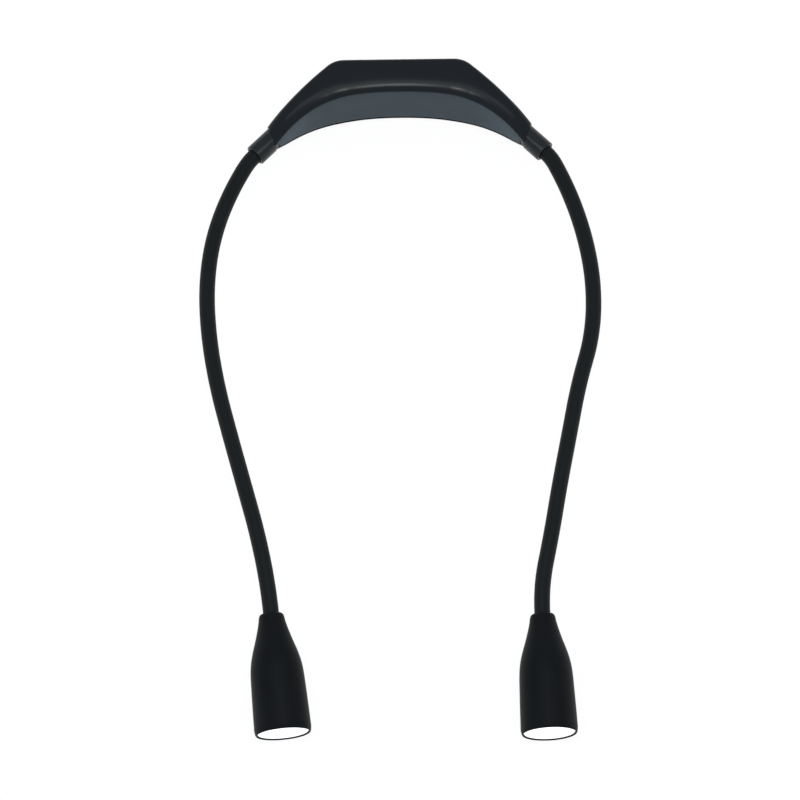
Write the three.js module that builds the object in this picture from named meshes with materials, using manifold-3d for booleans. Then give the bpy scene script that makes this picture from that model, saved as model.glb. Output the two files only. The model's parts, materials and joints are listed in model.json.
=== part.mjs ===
// Neck reading light: a rigid housing worn behind the neck, two bendable goosenecks and two lamp heads.
// Millimetres. X runs to the wearer's side, +Y points to the back of the neck, +Z is up.
// The light lies on its side on a table, on the housing's lower side face and on both lamp rims.
import * as THREE from "three";
import { mergeVertices } from "three/addons/utils/BufferGeometryUtils.js";
import Module from "manifold-3d";

const wasm = await Module();
wasm.setup();

const DEG = Math.PI / 180;
const SIDES = { left: -1, right: 1 };

// Fits that several pieces share
const fit = {
  gap: 0.3, // air left between two pieces that seat on each other
  cut: 1, // how far a cutting shape runs past the face that it opens
};

// Neck housing, seen from above: a flat back, slanted sides and a hollow front that goes round the neck
const housing = {
  depth: 37.2, // along Z at the middle
  endDepth: 14, // along Z at the collars
  thickness: 16.4, // from the hollow front to the flat back, at the middle
  backHalfWidth: 31.3, // from the middle to where the flat back and the slanted side would meet
  backBlend: 5, // how far the rounded corner reaches along each of its two sides
  outerHalfWidth: 63.3,
  outerDrop: 28.6, // from the flat back to the outer end corner, along Y
  sideBow: 0.65, // how far the slanted side swells between its ends
  innerHalfWidth: 59.4,
  innerDrop: 21.8, // from the hollow's deepest point to the inner end corner, along Y
  innerMidReach: 33.8, // handles of the hollow's curve
  innerEndReach: 20.6,
  innerEndSlopeDeg: 44,
  depthHoldShare: 0.36, // share of the half width that keeps the full depth
  depthTaperPower: 1.74,
  wall: 2,
  backRound: 2.5,
  frontRound: 3.8,
  endRound: 3.5,
  stations: 26,
  cornerSteps: 3,
};

// Soft pad on the hollow front, and the hard cover that it is bonded to
const pad = {
  rim: 3.65, // dark rim of the shell beside the pad, at the middle
  endRimExtra: 2.7, // how much wider that rim is at the tips
  rimPower: 6,
  endShare: 0.97,
  thickness: 1.8,
  tipThickness: 0.9,
  proud: 0.35,
  round: 0.5,
};
const cover = {
  endShare: 0.84,
  thickness: 1.6,
  ledge: 1.4, // how far the shell reaches under the cover's edge
};
const cavity = {
  endShare: 0.8,
  round: 1,
};

const board = {
  toBackCorner: 6.3, // from the housing's back corner to the board's end
  toRoomSide: 0.8, // air between the board's long edges and the room's sides
  thickness: 1,
  toWall: 4.1, // from the inside of the back wall to the board
  postRadius: 1.8,
  postInset: 3, // from the board's edges to the middle of a post
};
// Places are shares of the board's half width and half height
const driverChip = { xShare: -0.06, zShare: 0.55, width: 6, height: 5, thickness: 1 };
const coil = { xShare: 0.2, zShare: -0.6, width: 4, height: 4, thickness: 1.4 };
const chargerChip = { xShare: -0.25, zShare: -0.6, width: 3, height: 3, thickness: 0.9 };
const chargeLed = { width: 1.8, height: 1.2, thickness: 1.6, x: 9, toBoardEdge: 1.15 };
const battery = {
  endInset: 2.5, // how much shorter it is than the board, at each end
  toRoomSide: 0.6,
  toSocket: 2.3,
  thickness: 4.1,
  round: 1.2,
};
const tactSwitch = {
  x: 14,
  width: 4.6,
  thickness: 1,
  plungerRadius: 1,
  plungerHeight: 0.4,
};
const button = {
  radius: 4.5,
  proud: 0.8,
  edgeRound: 0.5,
  dish: 0.25,
  flangeWidth: 1.1,
  flangeThickness: 0.8,
  stemRadius: 1.5,
  stemToPlunger: 0.65, // leaves room for the 0.4 travel
};
const usbSocket = {
  width: 9,
  height: 3.2,
  length: 7.3,
  wall: 0.4,
  inset: 0.8, // mouth behind the housing's side face
  tongueWidth: 6.4,
  tongueThickness: 0.7,
  tongueInset: 1.2,
};
const lightPipe = { radius: 1.1, inset: 0.1 };
const screw = {
  toBoard: 0.5, // from the board's end to the boss of a screw
  toRoomSide: 1.75, // from the room's side to that boss
  headRadius: 1.9,
  headHeight: 1.4,
  shankRadius: 1,
  shankLength: 8,
  recessRadius: 1, // cross recess, as a round dimple
  recessDepth: 0.6,
  bossRadius: 2.8,
  coverBoss: 2, // length of the cover's own boss under the screw head
};

// Collars at the housing's ends, each with a spigot in the housing and a socket for the gooseneck
const collar = {
  radius: 5.25,
  length: 11.7,
  inset: 0.6, // from the middle of the end face to the collar's axis, towards the hollow front
  slantDeg: 45, // from the wearer's forward direction, outwards
  lipRound: 0.5,
  spigotRadius: 2.2,
  spigotLength: 7,
  socketDepth: 8,
  wireBoreRadius: 1.4,
};
const lead = { radius: 1, heightShare: -0.12 };

// Goosenecks: ten links each, from the collar to the lamp
const tube = {
  radius: 3.75,
  exitLength: 8, // the first link, which bends away from the collar
  linkLength: 26.06,
  links: 10,
  jointGap: 0.35,
  crimpInset: 0.25, // the tube's crimped ends are this much thinner
  sides: 12,
  riseLink: 1, // the link that lifts the arm
  dipLinks: [8, 9], // the links that tip the lamp down
};
const arms = {
  left: {
    turnsDeg: [14.9, 10.5, 12.4, 9.7, 6.2, 4.8, 0.7, 0, -3.6, -5.2],
    dipDeg: 6.9,
  },
  right: {
    turnsDeg: [-19.1, -8.7, -8.7, -11, -13.6, 5.2, -0.3, 1.4, -2.2, 14.2],
    dipDeg: 5.3,
  },
};

// Lamp heads: all places along the head are measured from its neck
const head = {
  length: 57.5,
  mouthRadius: 13.4,
  wall: 1.1,
  neckFlatRadius: 4.3,
  neckRound: 1.6,
  rimRound: 0.45,
  boreLength: 6.7,
  profileShares: [
    // along the head, and of the mouth's radius
    [0.045, 0.45],
    [0.113, 0.519],
    [0.212, 0.64],
    [0.313, 0.78],
    [0.405, 0.88],
    [0.5, 0.93],
    [0.65, 0.957],
    [0.82, 0.982],
  ],
  sides: 24,
  spans: 9,
};
const tubeEnd = { inHead: 14, inCollar: 7.7 };
const ferrule = { thickness: 1.5, length: 6, chamfer: 0.4 };
const lens = { thickness: 1.4, inset: 0.25, edgeRound: 0.3 };
const lensRing = { width: 1, length: 1.2 };
const reflector = { wall: 0.7, length: 13, throatRadius: 2.4 };
const ledBoard = { radius: 9.5, thickness: 1.2, ledRadius: 1.9, ledHeight: 1 };
const heatSink = { length: 10.6, fins: 3, finShare: 0.5, finDepth: 2.6, boreRadius: 1.5 };

// Finishes
const finish = {
  shell: { color: 0x24272a, roughness: 0.42, metalness: 0 },
  pad: { color: 0x454c51, roughness: 0.75, metalness: 0 },
  cover: { color: 0x2c2f31, roughness: 0.6, metalness: 0 },
  collar: { color: 0x303337, roughness: 0.38, metalness: 0 },
  tube: { color: 0x1e2224, roughness: 0.62, metalness: 0 },
  head: { color: 0x1d1f21, roughness: 0.5, metalness: 0 },
  lens: { color: 0xffffff, roughness: 0.35, metalness: 0 },
  reflector: { color: 0xd8dadc, roughness: 0.2, metalness: 0.9 },
  aluminium: { color: 0xa9adb1, roughness: 0.4, metalness: 0.9 },
  steel: { color: 0x9a9ca0, roughness: 0.35, metalness: 1 },
  brass: { color: 0xb0904a, roughness: 0.35, metalness: 1 },
  board: { color: 0x14513a, roughness: 0.55, metalness: 0 },
  battery: { color: 0xb9bdc2, roughness: 0.45, metalness: 0.3 },
  button: { color: 0x2a2d30, roughness: 0.6, metalness: 0 },
  clear: { color: 0xe6eaec, roughness: 0.15, metalness: 0 },
  lead: { color: 0x8c1f1f, roughness: 0.6, metalness: 0 },
};

// Booleans and clean closed geometry

// Merges equal corners and drops triangles that have lost their area.
function closedMesh(geometry) {
  const bare = geometry.clone();
  for (const name of ["normal", "uv"]) bare.deleteAttribute(name);
  const merged = mergeVertices(bare, 1e-4);
  const corners = merged.index.array;
  const kept = [];
  for (let i = 0; i < corners.length; i += 3) {
    const [a, b, c] = corners.slice(i, i + 3);
    if (a !== b && b !== c && c !== a) kept.push(a, b, c);
  }
  return { points: merged.attributes.position.array, kept };
}

// Six times the volume that the triangles enclose, negative when they face inwards.
function signedVolume(points, triangles) {
  let sum = 0;
  const [a, b, c] = [new THREE.Vector3(), new THREE.Vector3(), new THREE.Vector3()];
  for (let i = 0; i < triangles.length; i += 3) {
    a.fromArray(points, 3 * triangles[i]);
    b.fromArray(points, 3 * triangles[i + 1]);
    c.fromArray(points, 3 * triangles[i + 2]);
    sum += a.dot(b.cross(c));
  }
  return sum;
}

function solid(geometry) {
  const { points, kept } = closedMesh(geometry);
  if (signedVolume(points, kept) < 0) {
    for (let i = 0; i < kept.length; i += 3) [kept[i], kept[i + 1]] = [kept[i + 1], kept[i]];
  }
  return new wasm.Manifold(
    new wasm.Mesh({ numProp: 3, vertProperties: new Float32Array(points), triVerts: new Uint32Array(kept) }),
  );
}

function geometryOf(made) {
  const { vertProperties, triVerts, numProp, numVert } = made.getMesh();
  const points = new Float32Array(3 * numVert);
  for (let i = 0; i < numVert; i++) {
    points.set(vertProperties.subarray(i * numProp, i * numProp + 3), 3 * i);
  }
  return new THREE.BufferGeometry()
    .setAttribute("position", new THREE.BufferAttribute(points, 3))
    .setIndex([...triVerts]);
}

function mesh(name, made, look) {
  const flat = geometryOf(made).toNonIndexed();
  flat.computeVertexNormals();
  const piece = new THREE.Mesh(flat, new THREE.MeshStandardMaterial(look));
  piece.name = name;
  return piece;
}

// Primitive solids placed in a piece's own frame

function revolved(points, sides) {
  return solid(new THREE.LatheGeometry(points.map(([r, along]) => new THREE.Vector2(r, along)), sides));
}

// A cylinder along +Y that starts at height from and ends at height to.
function rod(radius, from, to, sides) {
  return revolved([[0, from], [radius, from], [radius, to], [0, to]], sides);
}

function block(width, along, height, at) {
  return solid(new THREE.BoxGeometry(width, along, height).translate(at.x, at.y, at.z));
}

function moved(made, matrix) {
  const geometry = geometryOf(made).applyMatrix4(matrix);
  return solid(geometry);
}

function shifted(made, x, y, z) {
  return moved(made, new THREE.Matrix4().makeTranslation(x, y, z));
}

// A closed skin over a row of loops that have equally many points, with a flat cap at each end.
function loft(loops) {
  const size = loops[0].length;
  const points = [];
  const faces = [];
  for (const loop of loops) for (const p of loop) points.push(p.x, p.y, p.z);
  for (let i = 0; i + 1 < loops.length; i++) {
    for (let j = 0; j < size; j++) {
      const a = i * size + j;
      const b = i * size + ((j + 1) % size);
      faces.push(a, b, b + size, a, b + size, a + size);
    }
  }
  const last = (loops.length - 1) * size;
  for (let j = 1; j + 1 < size; j++) {
    faces.push(0, j + 1, j, last, last + j, last + j + 1);
  }
  const geometry = new THREE.BufferGeometry()
    .setAttribute("position", new THREE.Float32BufferAttribute(points, 3))
    .setIndex(faces);
  return solid(geometry);
}

// The housing's plan and its stations

function outerPlan() {
  const { thickness, backHalfWidth, backBlend, outerHalfWidth, outerDrop, sideBow } = housing;
  const flatEnd = new THREE.Vector2(backHalfWidth - backBlend, thickness);
  const corner = new THREE.Vector2(backHalfWidth, thickness);
  const end = new THREE.Vector2(outerHalfWidth, thickness - outerDrop);
  const along = end.clone().sub(corner).normalize();
  const sideStart = corner.clone().addScaledVector(along, backBlend);
  const bulge = sideStart.clone().lerp(end, 0.5);
  bulge.add(new THREE.Vector2(-along.y, along.x).multiplyScalar(2 * sideBow));
  const plan = new THREE.CurvePath();
  plan.add(new THREE.LineCurve(new THREE.Vector2(0, thickness), flatEnd));
  plan.add(new THREE.QuadraticBezierCurve(flatEnd, corner, sideStart));
  plan.add(new THREE.QuadraticBezierCurve(sideStart, bulge, end));
  return plan;
}

function innerPlan() {
  const { innerHalfWidth, innerDrop, innerMidReach, innerEndReach, innerEndSlopeDeg } = housing;
  const slope = innerEndSlopeDeg * DEG;
  const end = new THREE.Vector2(innerHalfWidth, -innerDrop);
  const back = new THREE.Vector2(-Math.cos(slope), Math.sin(slope)).multiplyScalar(innerEndReach);
  return new THREE.CubicBezierCurve(
    new THREE.Vector2(0, 0),
    new THREE.Vector2(innerMidReach, 0),
    end.clone().add(back),
    end,
  );
}

const outer = outerPlan();
const inner = innerPlan();

// A station is one slice of the housing. Its share runs from -1 at the left end to 1 at the right end.
function station(share) {
  const side = Math.sign(share) || 1;
  const place = Math.min(Math.abs(share), 1);
  const front = inner.getPointAt(place);
  const back = outer.getPointAt(place);
  const { depth, endDepth, depthHoldShare, depthTaperPower } = housing;
  const taper = Math.max(0, (place - depthHoldShare) / (1 - depthHoldShare)) ** depthTaperPower;
  const half = (depth - (depth - endDepth) * taper) / 2;
  const start = new THREE.Vector3(side * front.x, front.y, 0);
  const reach = new THREE.Vector3(side * back.x, back.y, 0).sub(start);
  return {
    place,
    half,
    start,
    thickness: reach.length(),
    inward: reach.normalize(),
    padHalf: half - pad.rim - pad.endRimExtra * place ** pad.rimPower,
  };
}

// Every layer uses the same stations between its own two ends.
function stationShares(endShare) {
  const count = housing.stations;
  const shares = Array.from({ length: count + 1 }, (_, i) => (2 * i) / count - 1);
  const nearest = endShare - 1 / (4 * count);
  return [-endShare, ...shares.filter((share) => Math.abs(share) < nearest), endShare];
}

// A slice between two distances from the hollow front, with its own corner radii and steps per corner.
function slice(at, from, to, half, frontRound, backRound, steps) {
  const room = Math.min(half, (to - from) / 2);
  const corners = [
    { along: from, up: -half, radius: Math.min(frontRound, room), turn: 180 },
    { along: to, up: -half, radius: Math.min(backRound, room), turn: 270 },
    { along: to, up: half, radius: Math.min(backRound, room), turn: 0 },
    { along: from, up: half, radius: Math.min(frontRound, room), turn: 90 },
  ];
  const loop = [];
  for (const { along, up, radius, turn } of corners) {
    const centreAlong = along + (along === from ? radius : -radius);
    const centreUp = up - Math.sign(up) * radius;
    for (let i = 0; i <= steps; i++) {
      const angle = (turn + (90 * i) / steps) * DEG;
      const offset = centreAlong + radius * Math.cos(angle);
      const point = at.start.clone().addScaledVector(at.inward, offset);
      point.z = centreUp + radius * Math.sin(angle);
      loop.push(point);
    }
  }
  return loop;
}

// The share at which the hollow front lies at a given distance from the middle.
function shareAtX(x) {
  let [low, high] = [0, 1];
  for (let i = 0; i < 40; i++) {
    const middle = (low + high) / 2;
    if (inner.getPointAt(middle).x < x) low = middle;
    else high = middle;
  }
  return low;
}

// Distances from the hollow front at which the housing's layers lie

function padDepth(at) {
  return pad.tipThickness + (pad.thickness - pad.tipThickness) * (1 - at.place ** 4) - pad.proud;
}
const coverFront = pad.thickness - pad.proud + fit.gap;
const coverBack = coverFront + cover.thickness;
const ledgeDepth = coverBack + fit.gap;

// Half the height of the room behind the cover, and what fits in it
const roomHalf = housing.depth / 2 - pad.rim - cover.ledge;
const boardWidth = 2 * (housing.backHalfWidth - board.toBackCorner);
const boardHeight = 2 * (roomHalf - board.toRoomSide);
const postX = boardWidth / 2 - board.postInset;
const postZ = boardHeight / 2 - board.postInset;
const chargeLedZ = chargeLed.toBoardEdge - boardHeight / 2;
const screwX = boardWidth / 2 + screw.toBoard + screw.bossRadius;
const screwZ = roomHalf - screw.toRoomSide - screw.bossRadius;

// Distances along Y for the parts that lie flat behind the back wall
const wallInside = housing.thickness - housing.wall;
const boardBack = wallInside - board.toWall;
const boardFront = boardBack - board.thickness;
const switchBase = boardBack + fit.gap;
const plungerTop = switchBase + tactSwitch.thickness + tactSwitch.plungerHeight;
const batteryBack = boardFront - fit.gap;
const socketY = boardFront - fit.gap - usbSocket.height / 2;
const sideFace = -housing.depth / 2;
const socketMouth = sideFace + usbSocket.inset;

// Screws: the head seats in the cover's boss, clear of the pad
const screwSeat = (() => {
  const place = inner.getPointAt(shareAtX(screwX - screw.headRadius));
  return place.y + padDepth({ place: 0 }) + 2 * fit.gap + screw.headHeight;
})();
const coverBossEnd = screwSeat + screw.coverBoss;

// Frames of the collars: the origin lies in the housing's end face, +Y runs out along the collar
function collarFrame(side) {
  const at = station(side);
  const middle = at.start.clone().addScaledVector(at.inward, at.thickness / 2 - collar.inset);
  const turn = -side * (180 - collar.slantDeg) * DEG;
  return new THREE.Matrix4().makeRotationZ(turn).setPosition(middle);
}

// The distance from a collar's frame to the near end of the room
function toRoom(side) {
  const at = station(side * cavity.endShare);
  const middle = at.start.clone().addScaledVector(at.inward, at.thickness / 2);
  return middle.distanceTo(new THREE.Vector3().setFromMatrixPosition(collarFrame(side)));
}

// The angle by which the slanted end face differs from a square cut of the collar
function endFaceTurn(side) {
  const at = station(side);
  const square = new THREE.Vector3().setFromMatrixColumn(collarFrame(side), 0);
  const across = at.inward.multiplyScalar(Math.sign(square.dot(at.inward)));
  return Math.atan2(square.x * across.y - square.y * across.x, square.dot(across));
}

// Housing pieces

// The round bosses and posts inside the shell, from the back wall towards the front.
function shellBosses() {
  const root = wallInside + housing.wall / 2;
  const made = [];
  for (const x of [-screwX, screwX]) {
    for (const z of [-screwZ, screwZ]) {
      const boss = rod(screw.bossRadius, coverBossEnd + fit.gap, root, 12);
      const tip = screwSeat + screw.shankLength + fit.gap;
      const hole = rod(screw.shankRadius + fit.gap, coverBossEnd - fit.cut, tip, 10);
      made.push(shifted(boss.subtract(hole), x, 0, z));
    }
  }
  for (const x of [-postX, postX]) {
    for (const z of [-postZ, postZ]) {
      made.push(shifted(rod(board.postRadius, boardBack + fit.gap, root, 8), x, 0, z));
    }
  }
  return made;
}

function shellOpenings() {
  const made = [];
  for (const side of Object.values(SIDES)) {
    const hole = rod(button.radius + fit.gap, wallInside - fit.cut, housing.thickness + fit.cut, 20);
    made.push(shifted(hole, side * tactSwitch.x, 0, 0));
    const spigot = rod(collar.spigotRadius + fit.gap, -collar.spigotLength - fit.gap, collar.radius, 12);
    const wires = rod(collar.wireBoreRadius, -toRoom(side) - fit.cut, 0, 8);
    made.push(moved(spigot, collarFrame(side)), moved(wires, collarFrame(side)));
  }
  const port = socketSlot(usbSocket.width + 2 * fit.gap, usbSocket.height + 2 * fit.gap);
  const portEnd = socketMouth + usbSocket.length;
  made.push(upright(port, sideFace - fit.cut, portEnd, 0, socketY));
  const pipe = lightPipe.radius + fit.gap;
  const pipeHole = rod(pipe, sideFace - fit.cut, chargeLedZ, 10);
  made.push(moved(pipeHole, standing(chargeLed.x, pipeY())));
  return made;
}

function outerShell() {
  const { frontRound, backRound, endRound } = housing;
  const body = loft(
    stationShares(1).map((share) => {
      const at = station(share);
      const blend = at.place ** 3;
      const front = frontRound + (endRound - frontRound) * blend;
      const back = backRound + (endRound - backRound) * blend;
      return slice(at, 0, at.thickness, at.half, front, back, housing.cornerSteps);
    }),
  );
  const padPocket = loft(
    stationShares(pad.endShare).map((share) => {
      const at = station(share);
      return slice(at, -fit.cut, padDepth(at) + fit.gap, at.padHalf + fit.gap, 0, 0, 1);
    }),
  );
  const coverPocket = loft(
    stationShares(cover.endShare).map((share) => {
      const at = station(share);
      return slice(at, padDepth(at), ledgeDepth, at.padHalf, 0, 0, 1);
    }),
  );
  const room = loft(
    stationShares(cavity.endShare).map((share) => {
      const at = station(share);
      const back = at.thickness - housing.wall;
      const half = at.padHalf - cover.ledge;
      return slice(at, ledgeDepth - fit.cut, back, half, 0, cavity.round, 1);
    }),
  );
  let shell = body.subtract(padPocket).subtract(coverPocket).subtract(room);
  for (const boss of shellBosses()) shell = shell.add(boss);
  for (const opening of shellOpenings()) shell = shell.subtract(opening);
  return mesh("outer_shell", shell, finish.shell);
}

function innerCover() {
  let plate = loft(
    stationShares(cover.endShare - fit.gap / housing.innerHalfWidth).map((share) => {
      const at = station(share);
      return slice(at, coverFront, coverBack, at.padHalf - fit.gap, 0, 0, 1);
    }),
  );
  for (const x of [-screwX, screwX]) {
    for (const z of [-screwZ, screwZ]) {
      const bossStart = screwSeat - screw.headHeight / 2;
      const boss = rod(screw.bossRadius, bossStart, coverBossEnd, 12);
      const seat = rod(screw.headRadius + fit.gap, -housing.thickness, screwSeat + fit.gap, 12);
      const hole = rod(screw.shankRadius + fit.gap, -housing.thickness, housing.thickness, 10);
      plate = plate.add(shifted(boss, x, 0, z)).subtract(shifted(seat, x, 0, z));
      plate = plate.subtract(shifted(hole, x, 0, z));
    }
  }
  return mesh("inner_cover", plate, finish.cover);
}

function neckPad() {
  const end = pad.endShare - fit.gap / housing.innerHalfWidth;
  const skin = loft(
    stationShares(end).map((share) => {
      const at = station(share);
      return slice(at, -pad.proud, padDepth(at), at.padHalf, pad.round, 0, 2);
    }),
  );
  return mesh("neck_pad", skin, finish.pad);
}

function coverScrews() {
  const made = [];
  const top = screwSeat - screw.headHeight;
  for (const x of [-screwX, screwX]) {
    for (const z of [-screwZ, screwZ]) {
      const profile = [
        [0, top + screw.recessDepth],
        [screw.recessRadius, top + screw.recessDepth],
        [screw.recessRadius, top],
        [screw.headRadius, top],
        [screw.headRadius, screwSeat],
        [screw.shankRadius, screwSeat],
        [screw.shankRadius, screwSeat + screw.shankLength],
        [0, screwSeat + screw.shankLength],
      ];
      const name = `cover_screw_${made.length + 1}`;
      made.push(mesh(name, shifted(revolved(profile, 8), x, 0, z), finish.steel));
    }
  }
  return made;
}

// Electronics behind the back wall

// Turns a shape that stands along +Y to stand along +Z, then moves it over a place in plan.
function standing(x, y) {
  return new THREE.Matrix4().makeRotationX(Math.PI / 2).setPosition(x, y, 0);
}

// An extruded outline that stands along Z between two heights.
function upright(shape, from, to, x, y) {
  const geometry = new THREE.ExtrudeGeometry(shape, { depth: to - from, bevelEnabled: false, curveSegments: 4 });
  return solid(geometry.translate(x, y, from));
}

function socketSlot(width, height) {
  const r = height / 2;
  const straight = width / 2 - r;
  const shape = new THREE.Shape();
  shape.moveTo(-straight, -r);
  shape.lineTo(straight, -r);
  shape.absarc(straight, 0, r, -Math.PI / 2, Math.PI / 2, false);
  shape.absarc(-straight, 0, r, Math.PI / 2, (3 * Math.PI) / 2, false);
  return shape;
}

function usbCSocket() {
  const { width, height, length, wall, tongueWidth, tongueThickness, tongueInset } = usbSocket;
  const back = socketMouth + length;
  const body = upright(socketSlot(width, height), socketMouth, back, 0, socketY);
  const inside = socketSlot(width - 2 * wall, height - 2 * wall);
  const hollow = upright(inside, socketMouth - fit.cut, back - wall, 0, socketY);
  const tongueLength = length - tongueInset;
  const middle = new THREE.Vector3(0, socketY, back - tongueLength / 2);
  const tongue = block(tongueWidth, tongueThickness, tongueLength, middle);
  return mesh("usb_c_socket", body.subtract(hollow).add(tongue), finish.steel);
}

// The light pipe stands in front of the board, over the charge LED.
function pipeY() {
  return boardFront - fit.gap - lightPipe.radius;
}

function chargeLightPipe() {
  const tip = chargeLedZ - chargeLed.height / 2 - fit.gap;
  const pipe = rod(lightPipe.radius, sideFace + lightPipe.inset, tip, 10);
  return mesh("charge_light_pipe", moved(pipe, standing(chargeLed.x, pipeY())), finish.clear);
}

function mainBoard() {
  const { thickness } = board;
  const middle = new THREE.Vector3(0, boardBack - thickness / 2, 0);
  let plate = block(boardWidth, thickness, boardHeight, middle);
  for (const chip of [driverChip, coil, chargerChip]) {
    const x = (chip.xShare * boardWidth) / 2;
    const z = (chip.zShare * boardHeight) / 2;
    const y = boardBack + chip.thickness / 2 - thickness / 4;
    const at = new THREE.Vector3(x, y, z);
    plate = plate.add(block(chip.width, chip.thickness + thickness / 2, chip.height, at));
  }
  const ledAlong = chargeLed.thickness + thickness / 2;
  const led = new THREE.Vector3(chargeLed.x, boardBack - thickness / 2 - ledAlong / 2, chargeLedZ);
  plate = plate.add(block(chargeLed.width, ledAlong, chargeLed.height, led));
  return mesh("main_board", plate, finish.board);
}

function batteryCell() {
  const { endInset, toRoomSide, toSocket, thickness, round } = battery;
  const low = socketMouth + usbSocket.length + toSocket;
  const high = roomHalf - toRoomSide;
  const [w, h] = [boardWidth / 2 - endInset - round, (high - low) / 2 - round];
  const shape = new THREE.Shape([
    new THREE.Vector2(-w, -h),
    new THREE.Vector2(w, -h),
    new THREE.Vector2(w, h),
    new THREE.Vector2(-w, h),
  ]);
  const geometry = new THREE.ExtrudeGeometry(shape, {
    depth: thickness - 2 * round,
    bevelThickness: round,
    bevelSize: round,
    bevelSegments: 3,
  });
  geometry.rotateX(Math.PI / 2).translate(0, batteryBack - round, (high + low) / 2);
  return mesh("battery_cell", solid(geometry), finish.battery);
}

function tactSwitches() {
  return Object.entries(SIDES).map(([name, side]) => {
    const { width, thickness, plungerRadius } = tactSwitch;
    const middle = new THREE.Vector3(0, switchBase + thickness / 2, 0);
    const body = block(width, thickness, width, middle);
    const plunger = rod(plungerRadius, switchBase + thickness / 2, plungerTop, 12);
    const made = shifted(body.add(plunger), side * tactSwitch.x, 0, 0);
    return mesh(`${name}_tact_switch`, made, finish.steel);
  });
}

function powerButtons() {
  const { radius, proud, edgeRound, dish, flangeWidth, flangeThickness, stemRadius, stemToPlunger } = button;
  const top = housing.thickness + proud;
  const flangeTop = wallInside - fit.gap;
  const flangeBottom = flangeTop - flangeThickness;
  const profile = [
    [0, plungerTop + stemToPlunger],
    [stemRadius, plungerTop + stemToPlunger],
    [stemRadius, flangeBottom],
    [radius + flangeWidth, flangeBottom],
    [radius + flangeWidth, flangeTop],
    [radius, flangeTop],
    [radius, top - edgeRound],
    [radius - edgeRound * 0.3, top - edgeRound * 0.3],
    [radius - edgeRound, top],
    [radius / 2, top - dish / 2],
    [0, top - dish],
  ];
  return Object.entries(SIDES).map(([name, side]) => {
    const made = shifted(revolved(profile, 18), side * tactSwitch.x, 0, 0);
    return mesh(`${name}_button`, made, finish.button);
  });
}

// Collars and the leads that run through them

function collarPiece(name, side) {
  const { radius, length, lipRound, spigotRadius, spigotLength, socketDepth, wireBoreRadius } = collar;
  const sleeve = revolved(
    [
      [0, -2 * radius],
      [radius, -2 * radius],
      [radius, length - lipRound],
      [radius - lipRound * 0.3, length - lipRound * 0.3],
      [radius - lipRound, length],
      [0, length],
    ],
    24,
  );
  const size = 4 * length;
  const behind = block(size, size, size, new THREE.Vector3(0, fit.gap - size / 2, 0));
  const trimmed = sleeve.subtract(moved(behind, new THREE.Matrix4().makeRotationZ(endFaceTurn(side))));
  const spigot = rod(spigotRadius, -spigotLength, radius, 12);
  const socket = rod(tube.radius + fit.gap, length - socketDepth, length + fit.cut, 16);
  const wires = rod(wireBoreRadius, -spigotLength - fit.cut, length, 8);
  const made = trimmed.add(spigot).subtract(socket).subtract(wires);
  return mesh(`${name}_collar`, moved(made, collarFrame(side)), finish.collar);
}

// A two-core lead from the board, along the hollow of the housing's arm and through the collar.
function leadPiece(name, side) {
  const { thickness } = board;
  const startX = side * (boardWidth / 2 + lead.radius + fit.gap);
  const low = lead.heightShare * boardHeight;
  const points = [
    new THREE.Vector3(startX, boardBack - thickness / 2, low),
    new THREE.Vector3(startX + side * 2 * lead.radius, boardBack - thickness, low),
  ];
  for (const share of [0.52, 0.62, 0.72]) {
    const at = station(side * share);
    const middle = (ledgeDepth + at.thickness - housing.wall) / 2;
    const point = at.start.clone().addScaledVector(at.inward, middle);
    point.z = low * (1 - share);
    points.push(point);
  }
  const frame = collarFrame(side);
  const socketFloor = collar.length - collar.socketDepth;
  for (const along of [-1.6 * collar.spigotLength, -collar.spigotLength, 0, socketFloor]) {
    points.push(new THREE.Vector3(0, along, 0).applyMatrix4(frame));
  }
  const round = new THREE.Shape();
  round.absarc(0, 0, lead.radius, 0, 2 * Math.PI, false);
  const geometry = new THREE.ExtrudeGeometry(round, {
    steps: 12,
    curveSegments: 4,
    extrudePath: new THREE.CatmullRomCurve3(points, false, "centripetal"),
  });
  return mesh(`${name}_lead`, solid(geometry), finish.lead);
}

// Goosenecks

// The bend of one link: a turn about the link's own Z and a pitch about its own X, spread evenly along it.
function linkBend(arm, index, rise) {
  const { riseLink, dipLinks } = tube;
  const fall = -(rise + arm.dipDeg * DEG) / dipLinks.length;
  const pitch = (index === riseLink ? rise : 0) + (dipLinks.includes(index) ? fall : 0);
  return new THREE.Vector3(pitch, 0, arm.turnsDeg[index] * DEG);
}

function lengthOf(index) {
  return index === 0 ? tube.exitLength : tube.linkLength;
}

// The place and direction at a distance along a link that starts at the origin and heads along +Y.
function linkFrame(bend, distance, length) {
  const total = bend.length() || 1e-9;
  const axis = bend.clone().divideScalar(total);
  const angle = (total * distance) / length;
  const radius = length / total;
  const aside = axis.clone().cross(new THREE.Vector3(0, 1, 0));
  const place = new THREE.Vector3(0, radius * Math.sin(angle), 0);
  place.addScaledVector(aside, radius * (1 - Math.cos(angle)));
  const turn = new THREE.Quaternion().setFromAxisAngle(axis, angle);
  return new THREE.Matrix4().compose(place, turn, new THREE.Vector3(1, 1, 1));
}

// A ring of points round a frame's own Y axis.
function ring(frame, along, radius) {
  return Array.from({ length: tube.sides }, (_, i) => {
    const angle = (2 * Math.PI * i) / tube.sides;
    const point = new THREE.Vector3(radius * Math.cos(angle), along, -radius * Math.sin(angle));
    return point.applyMatrix4(frame);
  });
}

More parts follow.
